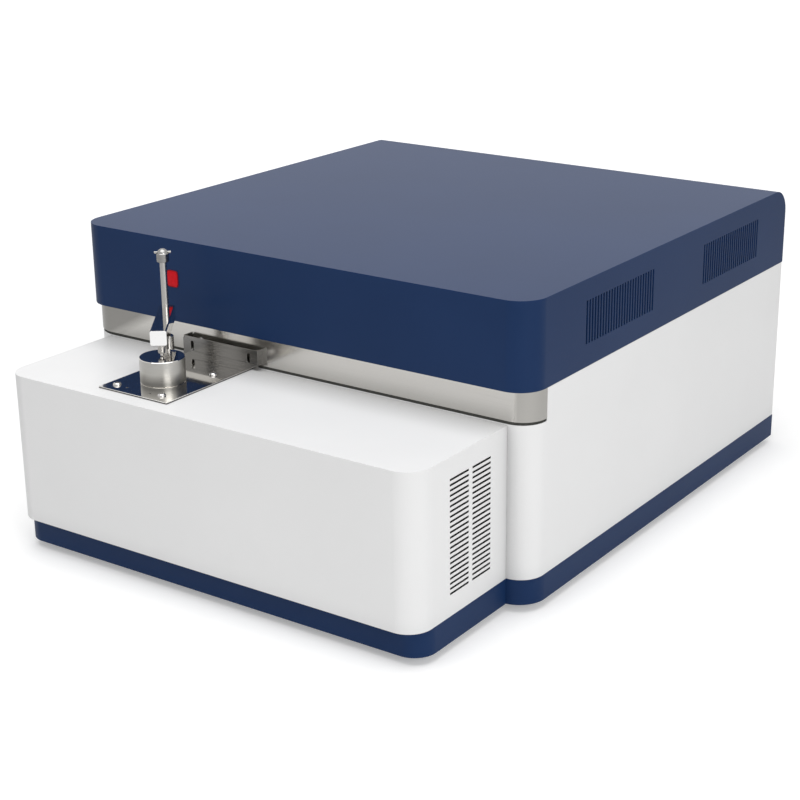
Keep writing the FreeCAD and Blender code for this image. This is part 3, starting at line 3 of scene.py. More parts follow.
import bpy
import numpy as np
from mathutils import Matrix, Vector


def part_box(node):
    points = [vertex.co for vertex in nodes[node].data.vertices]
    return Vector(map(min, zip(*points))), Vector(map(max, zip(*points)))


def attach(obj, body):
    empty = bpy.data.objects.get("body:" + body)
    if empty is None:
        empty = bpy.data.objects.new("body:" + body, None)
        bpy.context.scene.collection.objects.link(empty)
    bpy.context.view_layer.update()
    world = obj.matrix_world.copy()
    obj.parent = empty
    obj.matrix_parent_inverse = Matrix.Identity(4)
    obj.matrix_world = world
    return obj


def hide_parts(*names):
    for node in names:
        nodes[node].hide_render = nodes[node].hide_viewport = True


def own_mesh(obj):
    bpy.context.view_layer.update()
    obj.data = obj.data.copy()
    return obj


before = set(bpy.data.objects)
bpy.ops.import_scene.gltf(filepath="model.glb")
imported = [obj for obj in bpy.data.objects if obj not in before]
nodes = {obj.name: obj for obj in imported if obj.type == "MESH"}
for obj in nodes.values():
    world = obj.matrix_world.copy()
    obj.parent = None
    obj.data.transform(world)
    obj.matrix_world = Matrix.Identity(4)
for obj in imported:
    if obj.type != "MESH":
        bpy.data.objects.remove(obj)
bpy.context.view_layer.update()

# Plinth
# A folded tray of navy powder coated steel sheet. Its floor takes the push-in feet, and the white
# shell and the front box stand on its upper edge.
sharp_turn = math.radians(32)
crease_turn = math.radians(50)
weld_distance = 0.000002


def soften(node, radius, shortest=0.0):
    """Joins a solid's loose triangles and rounds its sharp edges. An edge is sharp where its two faces turn
    by more than the sharp turn: the sum of their normals then has a squared length below 2 + 2 cos(turn).
    Edges below the shortest length, such as the rims of screw holes, stay as they are."""
    piece = nodes[node]
    mesh = piece.data
    at = np.zeros(len(mesh.vertices) * 3, np.float32)
    ends = np.zeros(len(mesh.edges) * 2, np.int32)
    edge_of_corner = np.zeros(len(mesh.loops), np.int32)
    facing = np.zeros(len(mesh.polygons) * 3, np.float32)
    mesh.vertices.foreach_get("co", at)
    mesh.edges.foreach_get("vertices", ends)
    mesh.loops.foreach_get("edge_index", edge_of_corner)
    mesh.polygons.foreach_get("normal", facing)
    at, ends = at.reshape(-1, 3), ends.reshape(-1, 2)
    length = np.linalg.norm(at[ends[:, 0]] - at[ends[:, 1]], axis=1)
    same_point = np.unique(np.round(at, decimals=5), axis=0, return_inverse=True)[1].reshape(-1)
    same_edge = np.unique(np.sort(same_point[ends], axis=1), axis=0, return_inverse=True)[1].reshape(-1)
    facing_sum = np.zeros((same_edge.max() + 1, 3))
    np.add.at(facing_sum, same_edge[edge_of_corner], np.repeat(facing.reshape(-1, 3), 3, axis=0))
    turned = (facing_sum ** 2).sum(1)[same_edge] < 2 + 2 * math.cos(sharp_turn)
    weight = mesh.attributes.new("bevel_weight_edge", "FLOAT", "EDGE")
    weight.data.foreach_set("value", (turned & (length > shortest)).astype(np.float32))
    mesh.polygons.foreach_set("use_smooth", np.ones(len(mesh.polygons), bool))
    weld = piece.modifiers.new("weld", "WELD")
    weld.merge_threshold = weld_distance
    edge = piece.modifiers.new("edges", "BEVEL")
    edge.width = radius
    edge.segments = 2
    edge.limit_method = "WEIGHT"
    edge.face_strength_mode = "FSTR_ALL"
    split = piece.modifiers.new("unrounded edges", "EDGE_SPLIT")
    split.split_angle = crease_turn
    shade = piece.modifiers.new("shading", "WEIGHTED_NORMAL")
    shade.use_face_influence = True
    return piece


def shader(name, **sockets):
    """New material with one Principled shader; underscores in a socket's name stand for spaces."""
    material = bpy.data.materials.new(name)
    material.use_nodes = True
    surface = material.node_tree.nodes["Principled BSDF"]
    for socket, value in sockets.items():
        surface.inputs[socket.replace("_", " ")].default_value = value
    return material, material.node_tree, surface


def pattern(tree, kind, stretch=(1, 1, 1), turn=(0, 0, 0), **sockets):
    """Texture node on the object's own coordinates, stretched and turned by a Mapping node."""
    texture = tree.nodes.new("ShaderNodeTex" + kind)
    for socket, value in sockets.items():
        if socket in texture.inputs:
            texture.inputs[socket].default_value = value
        else:
            setattr(texture, socket, value)
    where = tree.nodes.new("ShaderNodeTexCoord")
    mapping = tree.nodes.new("ShaderNodeMapping")
    mapping.inputs["Scale"].default_value = stretch
    mapping.inputs["Rotation"].default_value = turn
    tree.links.new(where.outputs["Object"], mapping.inputs["Vector"])
    tree.links.new(mapping.outputs["Vector"], texture.inputs["Vector"])
    return texture.outputs["Distance" if kind == "Voronoi" else 0]


def spread(tree, source, low, high, socket, start=0.3, end=0.7):
    """Leads a pattern to a socket, from one number or colour at its low end to another at its high end."""
    ramp = tree.nodes.new("ShaderNodeValToRGB")
    for element, place, value in zip(ramp.color_ramp.elements, (start, end), (low, high)):
        element.position = place
        element.color = (*value, 1) if isinstance(value, tuple) else (value, value, value, 1)
    tree.links.new(source, ramp.inputs["Fac"])
    tree.links.new(ramp.outputs["Color"], socket)


def relief(tree, surface, source, height):
    """Fine relief of the surface from a pattern, its height in metres."""
    bump = tree.nodes.new("ShaderNodeBump")
    bump.inputs["Distance"].default_value = height
    tree.links.new(source, bump.inputs["Height"])
    tree.links.new(bump.outputs["Normal"], surface.inputs["Normal"])


def powder_coat(name, colour, lighter, rough, sheen, peel):
    """Baked powder coat: a faint cloud in the colour and the fine orange peel of the melted powder."""
    material, tree, surface = shader(name, Roughness=rough, Specular_IOR_Level=sheen)
    cloud = pattern(tree, "Noise", Scale=7.0, Detail=3.0)
    spread(tree, cloud, colour, lighter, surface.inputs["Base Color"])
    relief(tree, surface, pattern(tree, "Noise", Scale=520.0, Detail=3.0), peel)
    return material


def finish(piece, material):
    """Gives a piece its one finish."""
    piece.data.materials.clear()
    piece.data.materials.append(material)


navy_coat = powder_coat("navy powder coat", colour=(0.0075, 0.027, 0.088), lighter=(0.009, 0.030, 0.096),
                        rough=0.38, sheen=0.13, peel=0.00005)
finish(soften("plinth_tray", radius=0.0008), navy_coat)

# Rubber feet
# Six moulded feet of black rubber, each pushed into the tray's floor by its barbed stem.
rubber, tree, surface = shader("black rubber", Roughness=0.8, Specular_IOR_Level=0.3)
dust = pattern(tree, "Noise", Scale=180.0, Detail=4.0)
spread(tree, dust, (0.010, 0.010, 0.010), (0.028, 0.028, 0.027), surface.inputs["Base Color"])
relief(tree, surface, dust, height=0.00015)
finish(soften("rubber_feet", radius=0.0008), rubber)

# Main shell and front box
# White powder coated sheet: a wrapper round the front and both sides, and a folded cover for the
# spark stand's box with two columns of cooling slots cut through each side.


def dim(material, source, low, high, start=0.0, end=1.0):
    """Multiplies a material's colour by a number that follows a source from low to high."""
    tree = material.node_tree
    colour = tree.nodes["Principled BSDF"].inputs["Base Color"]
    shade = tree.nodes.new("ShaderNodeMix")
    shade.data_type = "RGBA"
    shade.blend_type = "MULTIPLY"
    shade.inputs["Factor"].default_value = 1.0
    spread(tree, source, low, high, shade.inputs["B"], start, end)
    tree.links.new(colour.links[0].from_socket, shade.inputs["A"])
    tree.links.new(shade.outputs["Result"], colour)


white_coat = powder_coat("white powder coat", colour=(0.815, 0.815, 0.815), lighter=(0.835, 0.835, 0.835),
                         rough=0.4, sheen=0.35, peel=0.00007)
# Painted shade: ambient occlusion darkens the white coat to half in corners, creases and between parts.
painted_crevice_shade = white_coat.node_tree.nodes.new("ShaderNodeAmbientOcclusion")
painted_crevice_shade.samples = 8
painted_crevice_shade.inputs["Distance"].default_value = 0.06
dim(white_coat, painted_crevice_shade.outputs["AO"], low=0.50, high=1.0, start=0.25, end=0.97)
finish(soften("main_shell", radius=0.0007), white_coat)
box_cover = soften("front_box_cover", radius=0.0004)

# Trim band and seal
# A stainless strip, brushed along its length, runs round both front corners; black rubber behind
# it closes the joint between the shell and the cover.


def brushed(name, bright, dull, rough, stretch, depth, metal=1.0, duller=0.07, glossier=0.03):
    """Brushed metal: noise drawn out along the brushing, in the colour, the gloss and the relief. The
    roughness runs from duller than the given one in the grooves to glossier between them."""
    material, tree, surface = shader(name, Metallic=metal)
    grain = pattern(tree, "Noise", stretch, Scale=1.0, Detail=6.0)
    spread(tree, grain, dull, bright, surface.inputs["Base Color"])
    spread(tree, grain, rough + duller, rough - glossier, surface.inputs["Roughness"])
    relief(tree, surface, grain, depth)
    return material


band_steel = brushed("brushed band steel", bright=(0.60, 0.585, 0.555), dull=(0.575, 0.56, 0.53),
                     rough=0.15, stretch=(9, 9, 2400), depth=0.000003)


def between(tree, turn, start, end):
    """Number that rises from 0 to 1 from one place to another along an axis. The axis is x, turned by the
    angles; its start and end are lengths in metres from the origin."""
    share = 1 / (end - start)
    step = pattern(tree, "Gradient", (share, share, share), turn)
    mapping = step.node.inputs["Vector"].links[0].from_node
    mapping.inputs["Location"].default_value = (-start * share, 0, 0)
    return step


along_x = (0, 0, 0)
upward = (0, math.pi / 2, 0)
down_to_the_left = (0, math.radians(118.6), 0)
# Painted reflection: the band is dimmed to about half past a slanting line at its left end and to three
# quarters round its right corner, in place of the darker reflections there.
painted_dark_reflection_left = between(band_steel.node_tree, down_to_the_left, start=0.322, end=0.335)
painted_dark_reflection_bend = between(band_steel.node_tree, along_x, start=0.297, end=0.301)
dim(band_steel, painted_dark_reflection_left, low=1.0, high=0.52)
dim(band_steel, painted_dark_reflection_bend, low=1.0, high=0.76)
finish(soften("trim_band", radius=0.0002), band_steel)
seal_rubber, tree, surface = shader("grey seal rubber", Roughness=0.75, Specular_IOR_Level=0.3)
bloom = pattern(tree, "Noise", Scale=240.0, Detail=3.0)
spread(tree, bloom, (0.035, 0.036, 0.032), (0.06, 0.061, 0.055), surface.inputs["Base Color"])
relief(tree, surface, bloom, height=0.0001)
finish(soften("band_seal", radius=0.0003), seal_rubber)

# Equipment deck
# Galvanised sheet on the shell's shelves with pressed studs and the tabs of the cover's screws.
zinc, tree, surface = shader("galvanised sheet", Metallic=1.0, Roughness=0.42)
spangle = pattern(tree, "Voronoi", Scale=190.0)
spread(tree, spangle, (0.40, 0.41, 0.42), (0.58, 0.59, 0.60), surface.inputs["Base Color"],
       start=0.1, end=0.9)
finish(soften("equipment_deck", radius=0.0003), zinc)

# Top cover
# Navy powder coated sheet cover with a rounded rear edge and two slotted grilles in each side.
finish(soften("top_cover", radius=0.0006, shortest=0.0016), navy_coat)

# Badge
# A small cushion-shaped plate of red enamel in a darker enamelled rim, stuck on the front of the
# top cover.


def add_mesh(name, points, faces, body):
    """Makes a piece from arrays of points and faces, smooth shaded, riding on a body."""
    mesh = bpy.data.meshes.new(name)
    mesh.from_pydata(points.tolist(), [], faces.tolist())
    mesh.polygons.foreach_set("use_smooth", np.ones(len(mesh.polygons), bool))
    mesh.validate()
    piece = bpy.data.objects.new(name, mesh)
    bpy.context.scene.collection.objects.link(piece)
    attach(piece, body)
    return piece


def grid_faces(rows, columns, around=True, along=False):
    """Quads between neighbours of a grid of rows by columns, closed around and along where asked."""
    i, j = np.meshgrid(np.arange(rows if along else rows - 1),
                       np.arange(columns if around else columns - 1), indexing="ij")
    here, there = i * columns, (i + 1) % rows * columns
    after = (j + 1) % columns
    return np.stack([here + j, here + after, there + after, there + j], -1).reshape(-1, 4)


mm = 0.001
cover_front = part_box("top_cover")[0][1]
badge_middle = (-0.172, 0.3095)
badge_half = (0.0088, 0.0102)


def cushion(inset, heights, ring=False, squareness=5.0, steps=96):
    """Loops of a rounded rectangle on the cover's front: each loop is |x/a|^n + |z/b|^n = 1 with n the
    squareness, drawn in by an inset and lifted forward by a height, both in millimetres. A ring joins the
    last loop to the first."""
    turn = np.linspace(0, 2 * np.pi, steps, endpoint=False)
    cosine, sine = np.cos(turn), np.sin(turn)
    across = np.sign(cosine) * np.abs(cosine) ** (2 / squareness)
    up = np.sign(sine) * np.abs(sine) ** (2 / squareness)
    inset, heights = np.array(inset)[:, None] * mm, np.array(heights)[:, None] * mm
    x = badge_middle[0] + np.maximum(badge_half[0] - inset, 0) * across
    z = badge_middle[1] + np.maximum(badge_half[1] - inset, 0) * up
    y = cover_front - heights + 0 * x
    return np.stack([x, y, z], -1).reshape(-1, 3), grid_faces(len(inset), steps, along=ring)


points, faces = cushion(inset=[0.1, 0, 0, 0.1, 0.4, 0.7, 0.9, 0.9],
                        heights=[0.02, 0.1, 0.8, 1.1, 1.2, 1.1, 0.9, 0.02], ring=True)
badge_rim = add_mesh("badge_rim", points, faces, "case")
points, faces = cushion(inset=[11, 0.95, 0.95, 1.1, 1.8, 4, 7, 11],
                        heights=[0.02, 0.02, 0.7, 0.8, 0.92, 1.05, 1.12, 1.15])
badge_face = add_mesh("badge_face", points, faces, "case")
enamel, tree, surface = shader("red enamel", Roughness=0.3, Specular_IOR_Level=0.12)
flow = pattern(tree, "Noise", Scale=320.0, Detail=2.0)
spread(tree, flow, (0.56, 0.004, 0.010), (0.64, 0.006, 0.014), surface.inputs["Base Color"])
finish(badge_face, enamel)
rim_enamel, tree, surface = shader("dark red enamel", Roughness=0.3, Specular_IOR_Level=0.12)
rim_flow = pattern(tree, "Noise", Scale=320.0)
spread(tree, rim_flow, (0.26, 0.003, 0.008), (0.32, 0.004, 0.010), surface.inputs["Base Color"])
finish(badge_rim, rim_enamel)

# Slot edges of the front box
# The punched walls of the cooling slots are painted near black as painted shade, in place of the white
# coat.


def two_finishes(piece, first, second, rule):
    """Gives a piece two finishes: the second goes where the rule holds for a face's centre and normal.
    A face looks mostly one way where that way's share of its normal is over a half."""
    count = len(piece.data.polygons)
    centre, normal = np.zeros(count * 3, np.float32), np.zeros(count * 3, np.float32)
    piece.data.polygons.foreach_get("center", centre)
    piece.data.polygons.foreach_get("normal", normal)
    finish(piece, first)
    piece.data.materials.append(second)
    chosen = rule(centre.reshape(-1, 3), normal.reshape(-1, 3))
    piece.data.polygons.foreach_set("material_index", np.asarray(chosen, np.int32))


mostly = 0.5
box_low, box_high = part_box("front_box_cover")
wall_depth = 0.0036
slots_middle = -0.319
slots_reach = 0.040
slots_low = 0.060
slots_high = 0.212


def slot_walls(at, facing):
    """Holds within the depth of a side wall, inside the field of slots, where a face looks up, down,
    forward or back and not mostly sideways."""
    in_wall = (at[:, 0] < box_low[0] + wall_depth) | (at[:, 0] > box_high[0] - wall_depth)
    in_columns = np.abs(at[:, 1] - slots_middle) < slots_reach
    in_rows = (at[:, 2] > slots_low) & (at[:, 2] < slots_high)
    return in_wall & in_columns & in_rows & (np.abs(facing[:, 0]) < mostly)


# Painted shade: the slot walls get a near black finish so the slots read dark.
painted_slot_shade, tree, surface = shader("dark primer", Roughness=0.7)
slot_shade_grain = pattern(tree, "Noise", Scale=300.0)
spread(tree, slot_shade_grain, (0.02, 0.02, 0.02), (0.04, 0.04, 0.04), surface.inputs["Base Color"])
two_finishes(box_cover, white_coat, painted_slot_shade, slot_walls)

# Stand plate
# Mirror polished stainless plate on the front box with ground edges; the sample covers its opening.
mirror_steel, tree, surface = shader("mirror polished steel", Metallic=1.0)
haze = pattern(tree, "Noise", stretch=(1, 7, 1), Scale=260.0, Detail=5.0)
spread(tree, haze, (0.66, 0.645, 0.62), (0.70, 0.685, 0.66), surface.inputs["Base Color"])
spread(tree, haze, 0.045, 0.075, surface.inputs["Roughness"])
relief(tree, surface, pattern(tree, "Noise", Scale=38.0, Detail=1.0), height=0.000006)
plate_under, plate_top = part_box("stand_plate")[0][2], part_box("stand_plate")[1][2]
# The upright edges take a ground finish that is painted dark over their lower half: a painted shadow line
# under the plate.
ground_edge_painted_shadow, tree, surface = shader("ground edge", Metallic=1.0, Roughness=0.4)
spread(tree, between(tree, upward, plate_under, plate_top), (0.06, 0.058, 0.056), (0.62, 0.61, 0.59),
       surface.inputs["Base Color"], start=0.5, end=0.68)


def upright(at, facing):
    """Holds for faces that stand upright."""
    return np.abs(facing[:, 2]) < mostly


two_finishes(soften("stand_plate", radius=0.0003, shortest=0.02), mirror_steel, ground_edge_painted_shadow, upright)

# Stand plate screws
# Bright stainless button heads with hexagon sockets, turned and tumbled.
bright_steel = brushed("tumbled stainless", bright=(0.56, 0.55, 0.54), dull=(0.46, 0.45, 0.44),
                       rough=0.18, stretch=(700, 700, 700), depth=0.00001)
finish(soften("stand_plate_screws", radius=0.0001), bright_steel)

# Stand bracket
# Folded and brushed steel angle behind the sample, its grain running from end to end and its back
# left as rolled.
dark_steel = brushed("dark brushed steel", bright=(0.235, 0.23, 0.222), dull=(0.225, 0.22, 0.212),
                     rough=0.22, stretch=(12, 12, 1500), depth=0)
bare_back = brushed("bare rolled steel", bright=(0.46, 0.45, 0.44), dull=(0.42, 0.41, 0.40),
                    rough=0.5, stretch=(60, 60, 900), depth=0.00001)
two_finishes(soften("stand_bracket", radius=0.00025), dark_steel, bare_back,
             lambda at, facing: facing[:, 1] > mostly)

# Spark chamber and pillars
# Milled aluminium block under the stand plate, bored for the spark, the light and the argon, on
# four turned pillars.
milled, tree, surface = shader("milled aluminium", Metallic=1.0, Roughness=0.34)
cutter = pattern(tree, "Wave", Scale=160.0, Distortion=2.0, Detail=2.0, wave_type="RINGS")
spread(tree, cutter, (0.60, 0.61, 0.62), (0.70, 0.71, 0.72), surface.inputs["Base Color"])
relief(tree, surface, cutter, height=0.00001)
finish(soften("spark_chamber", radius=0.0004), milled)
turned_aluminium = brushed("turned aluminium", bright=(0.70, 0.71, 0.72), dull=(0.60, 0.61, 0.62),
                           rough=0.3, stretch=(40, 40, 3000), depth=0.00001)
finish(soften("stand_pillars", radius=0.0004), turned_aluminium)

# Electrode and its holder
# Ground tungsten rod clamped in a turned brass holder, set apart from the block by a glazed bush.
glaze, tree, surface = shader("glazed ceramic", Roughness=0.16, Coat_Weight=0.6, Coat_Roughness=0.08)
fired = pattern(tree, "Noise", Scale=90.0, Detail=3.0)
spread(tree, fired, (0.78, 0.76, 0.70), (0.84, 0.83, 0.78), surface.inputs["Base Color"])
relief(tree, surface, fired, height=0.00008)
finish(soften("electrode_insulator", radius=0.0003), glaze)
brass = brushed("turned brass", bright=(0.74, 0.55, 0.26), dull=(0.62, 0.45, 0.20),
                rough=0.25, stretch=(60, 2600, 60), depth=0.00001)
finish(soften("electrode_holder", radius=0.0002), brass)
tungsten = brushed("ground tungsten", bright=(0.42, 0.42, 0.43), dull=(0.30, 0.30, 0.31),
                   rough=0.28, stretch=(3000, 3000, 200), depth=0.000006)
finish(soften("counter_electrode", radius=0.0001), tungsten)

# Light path
# A quartz lens in a black anodised barrel looks at the spark; a sheathed fibre bundle carries the
# light to the entrance slit.
anodised = brushed("black anodising", bright=(0.035, 0.035, 0.037), dull=(0.022, 0.022, 0.024),
                   rough=0.36, stretch=(900, 900, 900), depth=0.00002, metal=0.6)
finish(soften("lens_holder", radius=0.0002), anodised)
quartz, tree, surface = shader("clear quartz", Roughness=0.02, IOR=1.46, Transmission_Weight=1.0)
melt = pattern(tree, "Noise", Scale=40.0)
spread(tree, melt, (0.96, 0.98, 1.0), (1.0, 1.0, 1.0), surface.inputs["Base Color"])
finish(soften("entrance_lens", radius=0.00005), quartz)
sheath, tree, surface = shader("ribbed black sheath", Roughness=0.5)
ribs = pattern(tree, "Wave", Scale=140.0, bands_direction="Y")
spread(tree, ribs, (0.016, 0.016, 0.017), (0.034, 0.034, 0.036), surface.inputs["Base Color"])
relief(tree, surface, ribs, height=0.0005)
finish(soften("light_guide", radius=0.0002), sheath)

# Optics chamber
# Sand cast aluminium trough with a machined cover, on four rubber blocks that keep heat and knocks
# away from it.
cast, tree, surface = shader("sand cast aluminium", Metallic=1.0, Roughness=0.58)
sand = pattern(tree, "Noise", Scale=650.0, Detail=5.0)
spread(tree, sand, (0.40, 0.40, 0.41), (0.54, 0.54, 0.55), surface.inputs["Base Color"])
relief(tree, surface, sand, height=0.0003)
finish(soften("optics_chamber", radius=0.001), cast)
finish(soften("optics_cover", radius=0.0006), milled)
finish(soften("optics_isolators", radius=0.0008), rubber)

# Slit and grating
# Black anodised slit barrel in the wall; a concave grating in its block opposite, its fine ruling
# seen as a faint play of colours.
finish(soften("entrance_slit", radius=0.0002), anodised)
ruled, tree, surface = shader("ruled grating", Metallic=1.0, Roughness=0.08)
ruling = pattern(tree, "Wave", Scale=30.0, Distortion=1.5)
spread(tree, ruling, (0.62, 0.72, 0.86), (0.86, 0.74, 0.78), surface.inputs["Base Color"],
       start=0.1, end=0.9)
finish(soften("grating", radius=0.0002), ruled)
finish(soften("grating_mount", radius=0.0005), anodised)

# Detectors
# Line sensors in black packages on green boards, which stand in the slots of a machined rail.
finish(soften("detector_rail", radius=0.0004), milled)


def board_green(name):
    """Green solder mask over copper tracks: squared cells raised slightly from the board."""
    material, tree, surface = shader(name, Roughness=0.3, Coat_Weight=0.3)
    tracks = pattern(tree, "Voronoi", Scale=330.0, distance="CHEBYCHEV")
    spread(tree, tracks, (0.012, 0.14, 0.05), (0.02, 0.22, 0.08), surface.inputs["Base Color"],
           start=0.35, end=0.45)
    relief(tree, surface, tracks, height=0.00003)
    return material


board_mask = board_green("green solder mask")
finish(soften("detector_boards", radius=0.0001), board_mask)
black_plastic, tree, surface = shader("black moulded plastic", Roughness=0.42)
spark_grain = pattern(tree, "Noise", Scale=900.0, Detail=3.0)
spread(tree, spark_grain, (0.014, 0.014, 0.015), (0.024, 0.024, 0.026), surface.inputs["Base Color"])
relief(tree, surface, spark_grain, height=0.00006)
finish(soften("detector_chips", radius=0.0002), black_plastic)

# Spark source
# Galvanised frame in the right half of the front box, with an ignition coil cast in resin and a
# silicone lead to the electrode.
finish(soften("spark_source_frame", radius=0.0003), zinc)
finish(soften("ignition_coil", radius=0.002), black_plastic)
silicone, tree, surface = shader("red silicone", Roughness=0.45)
chalk = pattern(tree, "Noise", Scale=400.0, Detail=3.0)
spread(tree, chalk, (0.42, 0.02, 0.015), (0.52, 0.035, 0.025), surface.inputs["Base Color"])
relief(tree, surface, chalk, height=0.00005)
finish(soften("spark_lead", radius=0.0004), silicone)

# Storage capacitors
# Three aluminium cans in blue sleeves, each with a rolled bead near the top and a bare lid.


def lathe(middles, radius, height, steps=64):
    """Rings of a profile of radius against height, turned about an upright axis at each middle."""
    turn = np.linspace(0, 2 * np.pi, steps, endpoint=False)
    radius, height = np.asarray(radius)[:, None], np.asarray(height)[:, None]
    one = np.stack([radius * np.cos(turn), radius * np.sin(turn), height + 0 * turn], -1).reshape(-1, 3)
    middles = np.asarray(middles)
    points = (one[None] + np.c_[middles, np.zeros(len(middles))][:, None]).reshape(-1, 3)
    faces = grid_faces(len(radius), steps)
    return points, (faces[None] + (np.arange(len(middles)) * len(one))[:, None, None]).reshape(-1, 4)


cans_low, cans_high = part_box("spark_capacitors")
can_radius = (cans_high[1] - cans_low[1]) / 2
can_row = np.linspace(cans_low[0] + can_radius, cans_high[0] - can_radius, 3)
can_places = [(x, cans_low[1] + can_radius) for x in can_row]
bead_in = np.array([0, 0.1, 1.2, 1.5, 1.2, 0.1, 0]) * mm
bead_down = np.array([13, 12.2, 11.2, 10, 8.8, 7.8, 7]) * mm
lid_in = np.array([0, 0.4, 1.2, 2.2, 2.6, 2.6]) * mm
lid_down = np.array([1.8, 0.6, 0, 0.2, 0.8, 1.4]) * mm
foot_in = np.array([1.5, 0.4, 0]) * mm
foot_up = np.array([0, 0.3, 1.5]) * mm
can_profile = can_radius - np.concatenate([[can_radius], foot_in, bead_in, lid_in, [can_radius]])
can_heights = np.concatenate([[cans_low[2]], cans_low[2] + foot_up, cans_high[2] - bead_down,
                              cans_high[2] - lid_down, [cans_high[2] - lid_down[-1]]])
points, faces = lathe(can_places, can_profile, can_heights)
cans = add_mesh("capacitor_cans", points, faces, "case")
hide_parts("spark_capacitors")
sleeve_blue, tree, surface = shader("blue shrink sleeve", Roughness=0.28, Coat_Weight=0.3)
shrink = pattern(tree, "Noise", stretch=(1, 1, 6), Scale=60.0, Detail=3.0)
spread(tree, shrink, (0.02, 0.06, 0.24), (0.03, 0.08, 0.32), surface.inputs["Base Color"])
sleeve_end = cans_high[2] - 1.5 * mm
lid_slope = 0.2
two_finishes(cans, sleeve_blue, turned_aluminium,
             lambda at, facing: (at[:, 2] > sleeve_end) & (np.abs(facing[:, 2]) > lid_slope))

# Electronics on the deck
# A slotted galvanised power supply case, and the control board with its parts in black packages.
finish(soften("power_supply", radius=0.0004), zinc)
board_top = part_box("control_board")[0][2] + 1.65 * mm
two_finishes(soften("control_board", radius=0.0002), board_mask, black_plastic,
             lambda at, facing: at[:, 2] > board_top)

# Argon supply
# Milled valve block with two black solenoid coils, and blue polyurethane tubes from the inlet to the
# spark chamber and on to the exhaust.
block_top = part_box("argon_valve_unit")[0][2] + 82.5 * mm
two_finishes(soften("argon_valve_unit", radius=0.0004), milled, black_plastic,
             lambda at, facing: at[:, 2] > block_top)
tube_blue, tree, surface = shader("blue polyurethane", Roughness=0.22, Coat_Weight=0.3)
drawn = pattern(tree, "Noise", Scale=120.0, Detail=2.0)
spread(tree, drawn, (0.03, 0.14, 0.50), (0.05, 0.19, 0.60), surface.inputs["Base Color"])
finish(soften("gas_tubes", radius=0.0002), tube_blue)

# Rear panel and its screws
# White powder coated sheet, cut out for fans, inlet, switch and ports; zinc plated round-headed
# screws hold it and the cover.
finish(soften("rear_panel", radius=0.0003, shortest=0.02), white_coat)
plated = brushed("zinc plating", bright=(0.62, 0.63, 0.64), dull=(0.52, 0.53, 0.54),
                 rough=0.3, stretch=(500, 500, 500), depth=0.00001)
finish(soften("panel_screws", radius=0.0001), plated)

# Fan frames and screws
# Two square frames of black glass-filled plastic behind the panel, each held by four screws.
finish(soften("fan_frames", radius=0.0005), black_plastic)
finish(soften("fan_screws", radius=0.0001), plated)

# Fan guards
# Welded guards of bright wire: three rings and two crossed bars to the screws of each fan.
frames_low, frames_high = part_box("fan_frames")
fan_half = (frames_high[2] - frames_low[2]) / 2
fan_height = frames_low[2] + fan_half
fan_middles = (frames_low[0] + fan_half, frames_high[0] - fan_half)
guards_near, guards_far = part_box("fan_guards")[0][1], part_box("fan_guards")[1][1]
wire_plane = (guards_near + guards_far) / 2
wire_radius = (guards_far - guards_near) / 2 - 0.01 * mm
ring_radii = (0.042, 0.030, 0.018)
bar_reach = 0.0575
screw_reach = 0.05834
eye_radius = 0.0029


def wire_ring(radius, steps=96, sides=10):
    """Torus about the fan's axis: a circle of the wire's radius carried round a larger circle."""
    turn, side = np.meshgrid(np.linspace(0, 2 * np.pi, steps, endpoint=False),
                             np.linspace(0, 2 * np.pi, sides, endpoint=False), indexing="ij")
    out = radius + wire_radius * np.cos(side)
    points = np.stack([out * np.cos(turn), wire_radius * np.sin(side), out * np.sin(turn)], -1)
    return points.reshape(-1, 3), grid_faces(steps, sides, along=True)


def wire_bar(angle, sides=10):
    """Straight wire through the fan's axis with domed ends: a circle that shrinks at both ends."""
    along = np.array([-1, -0.9995, -0.998, -0.994, 0.994, 0.998, 0.9995, 1]) * bar_reach
    size = np.array([0, 0.5, 0.85, 1, 1, 0.85, 0.5, 0])[:, None] * wire_radius
    side = np.linspace(0, 2 * np.pi, sides, endpoint=False)
    level = size * np.cos(side)
    x = along[:, None] * math.cos(angle) - level * math.sin(angle)
    z = along[:, None] * math.sin(angle) + level * math.cos(angle)
    return np.stack([x, size * np.sin(side), z], -1).reshape(-1, 3), grid_faces(len(along), sides)[:, ::-1]


def wire_eye(angle):
    """Eye round a screw: a small torus at the end of a bar."""
    points, faces = wire_ring(eye_radius, steps=40)
    return points + [screw_reach * math.cos(angle), 0, screw_reach * math.sin(angle)], faces


def together(pieces):
    """Joins lists of points and faces into one, counting the faces on."""
    starts = np.cumsum([0] + [len(points) for points, _ in pieces[:-1]])
    return (np.concatenate([points for points, _ in pieces]),
            np.concatenate([faces + start for (_, faces), start in zip(pieces, starts)]))


one_guard = together([wire_ring(radius) for radius in ring_radii]
                     + [wire_bar(math.radians(angle)) for angle in (45, -45)]
                     + [wire_eye(math.radians(angle)) for angle in (45, 135, 225, 315)])
points, faces = together([(one_guard[0] + [x, wire_plane, fan_height], one_guard[1]) for x in fan_middles])
guards = add_mesh("wire_guards", points, faces, "case")
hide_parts("fan_guards")
finish(guards, bright_steel)

# Fan rotors
# Moulded hubs with seven swept and twisted blades, turning inside the frames.
fan_near = frames_low[1]
blade_count = 7
blade_root, blade_tip = 0.0162, 0.0418
root_twist, tip_twist = math.radians(42), math.radians(24)
root_length, tip_length = 0.0165, 0.0210
root_thickness, tip_thickness = 0.0016, 0.0010
blade_middle = 0.0130
flattening = 0.92
sweep = 0.22


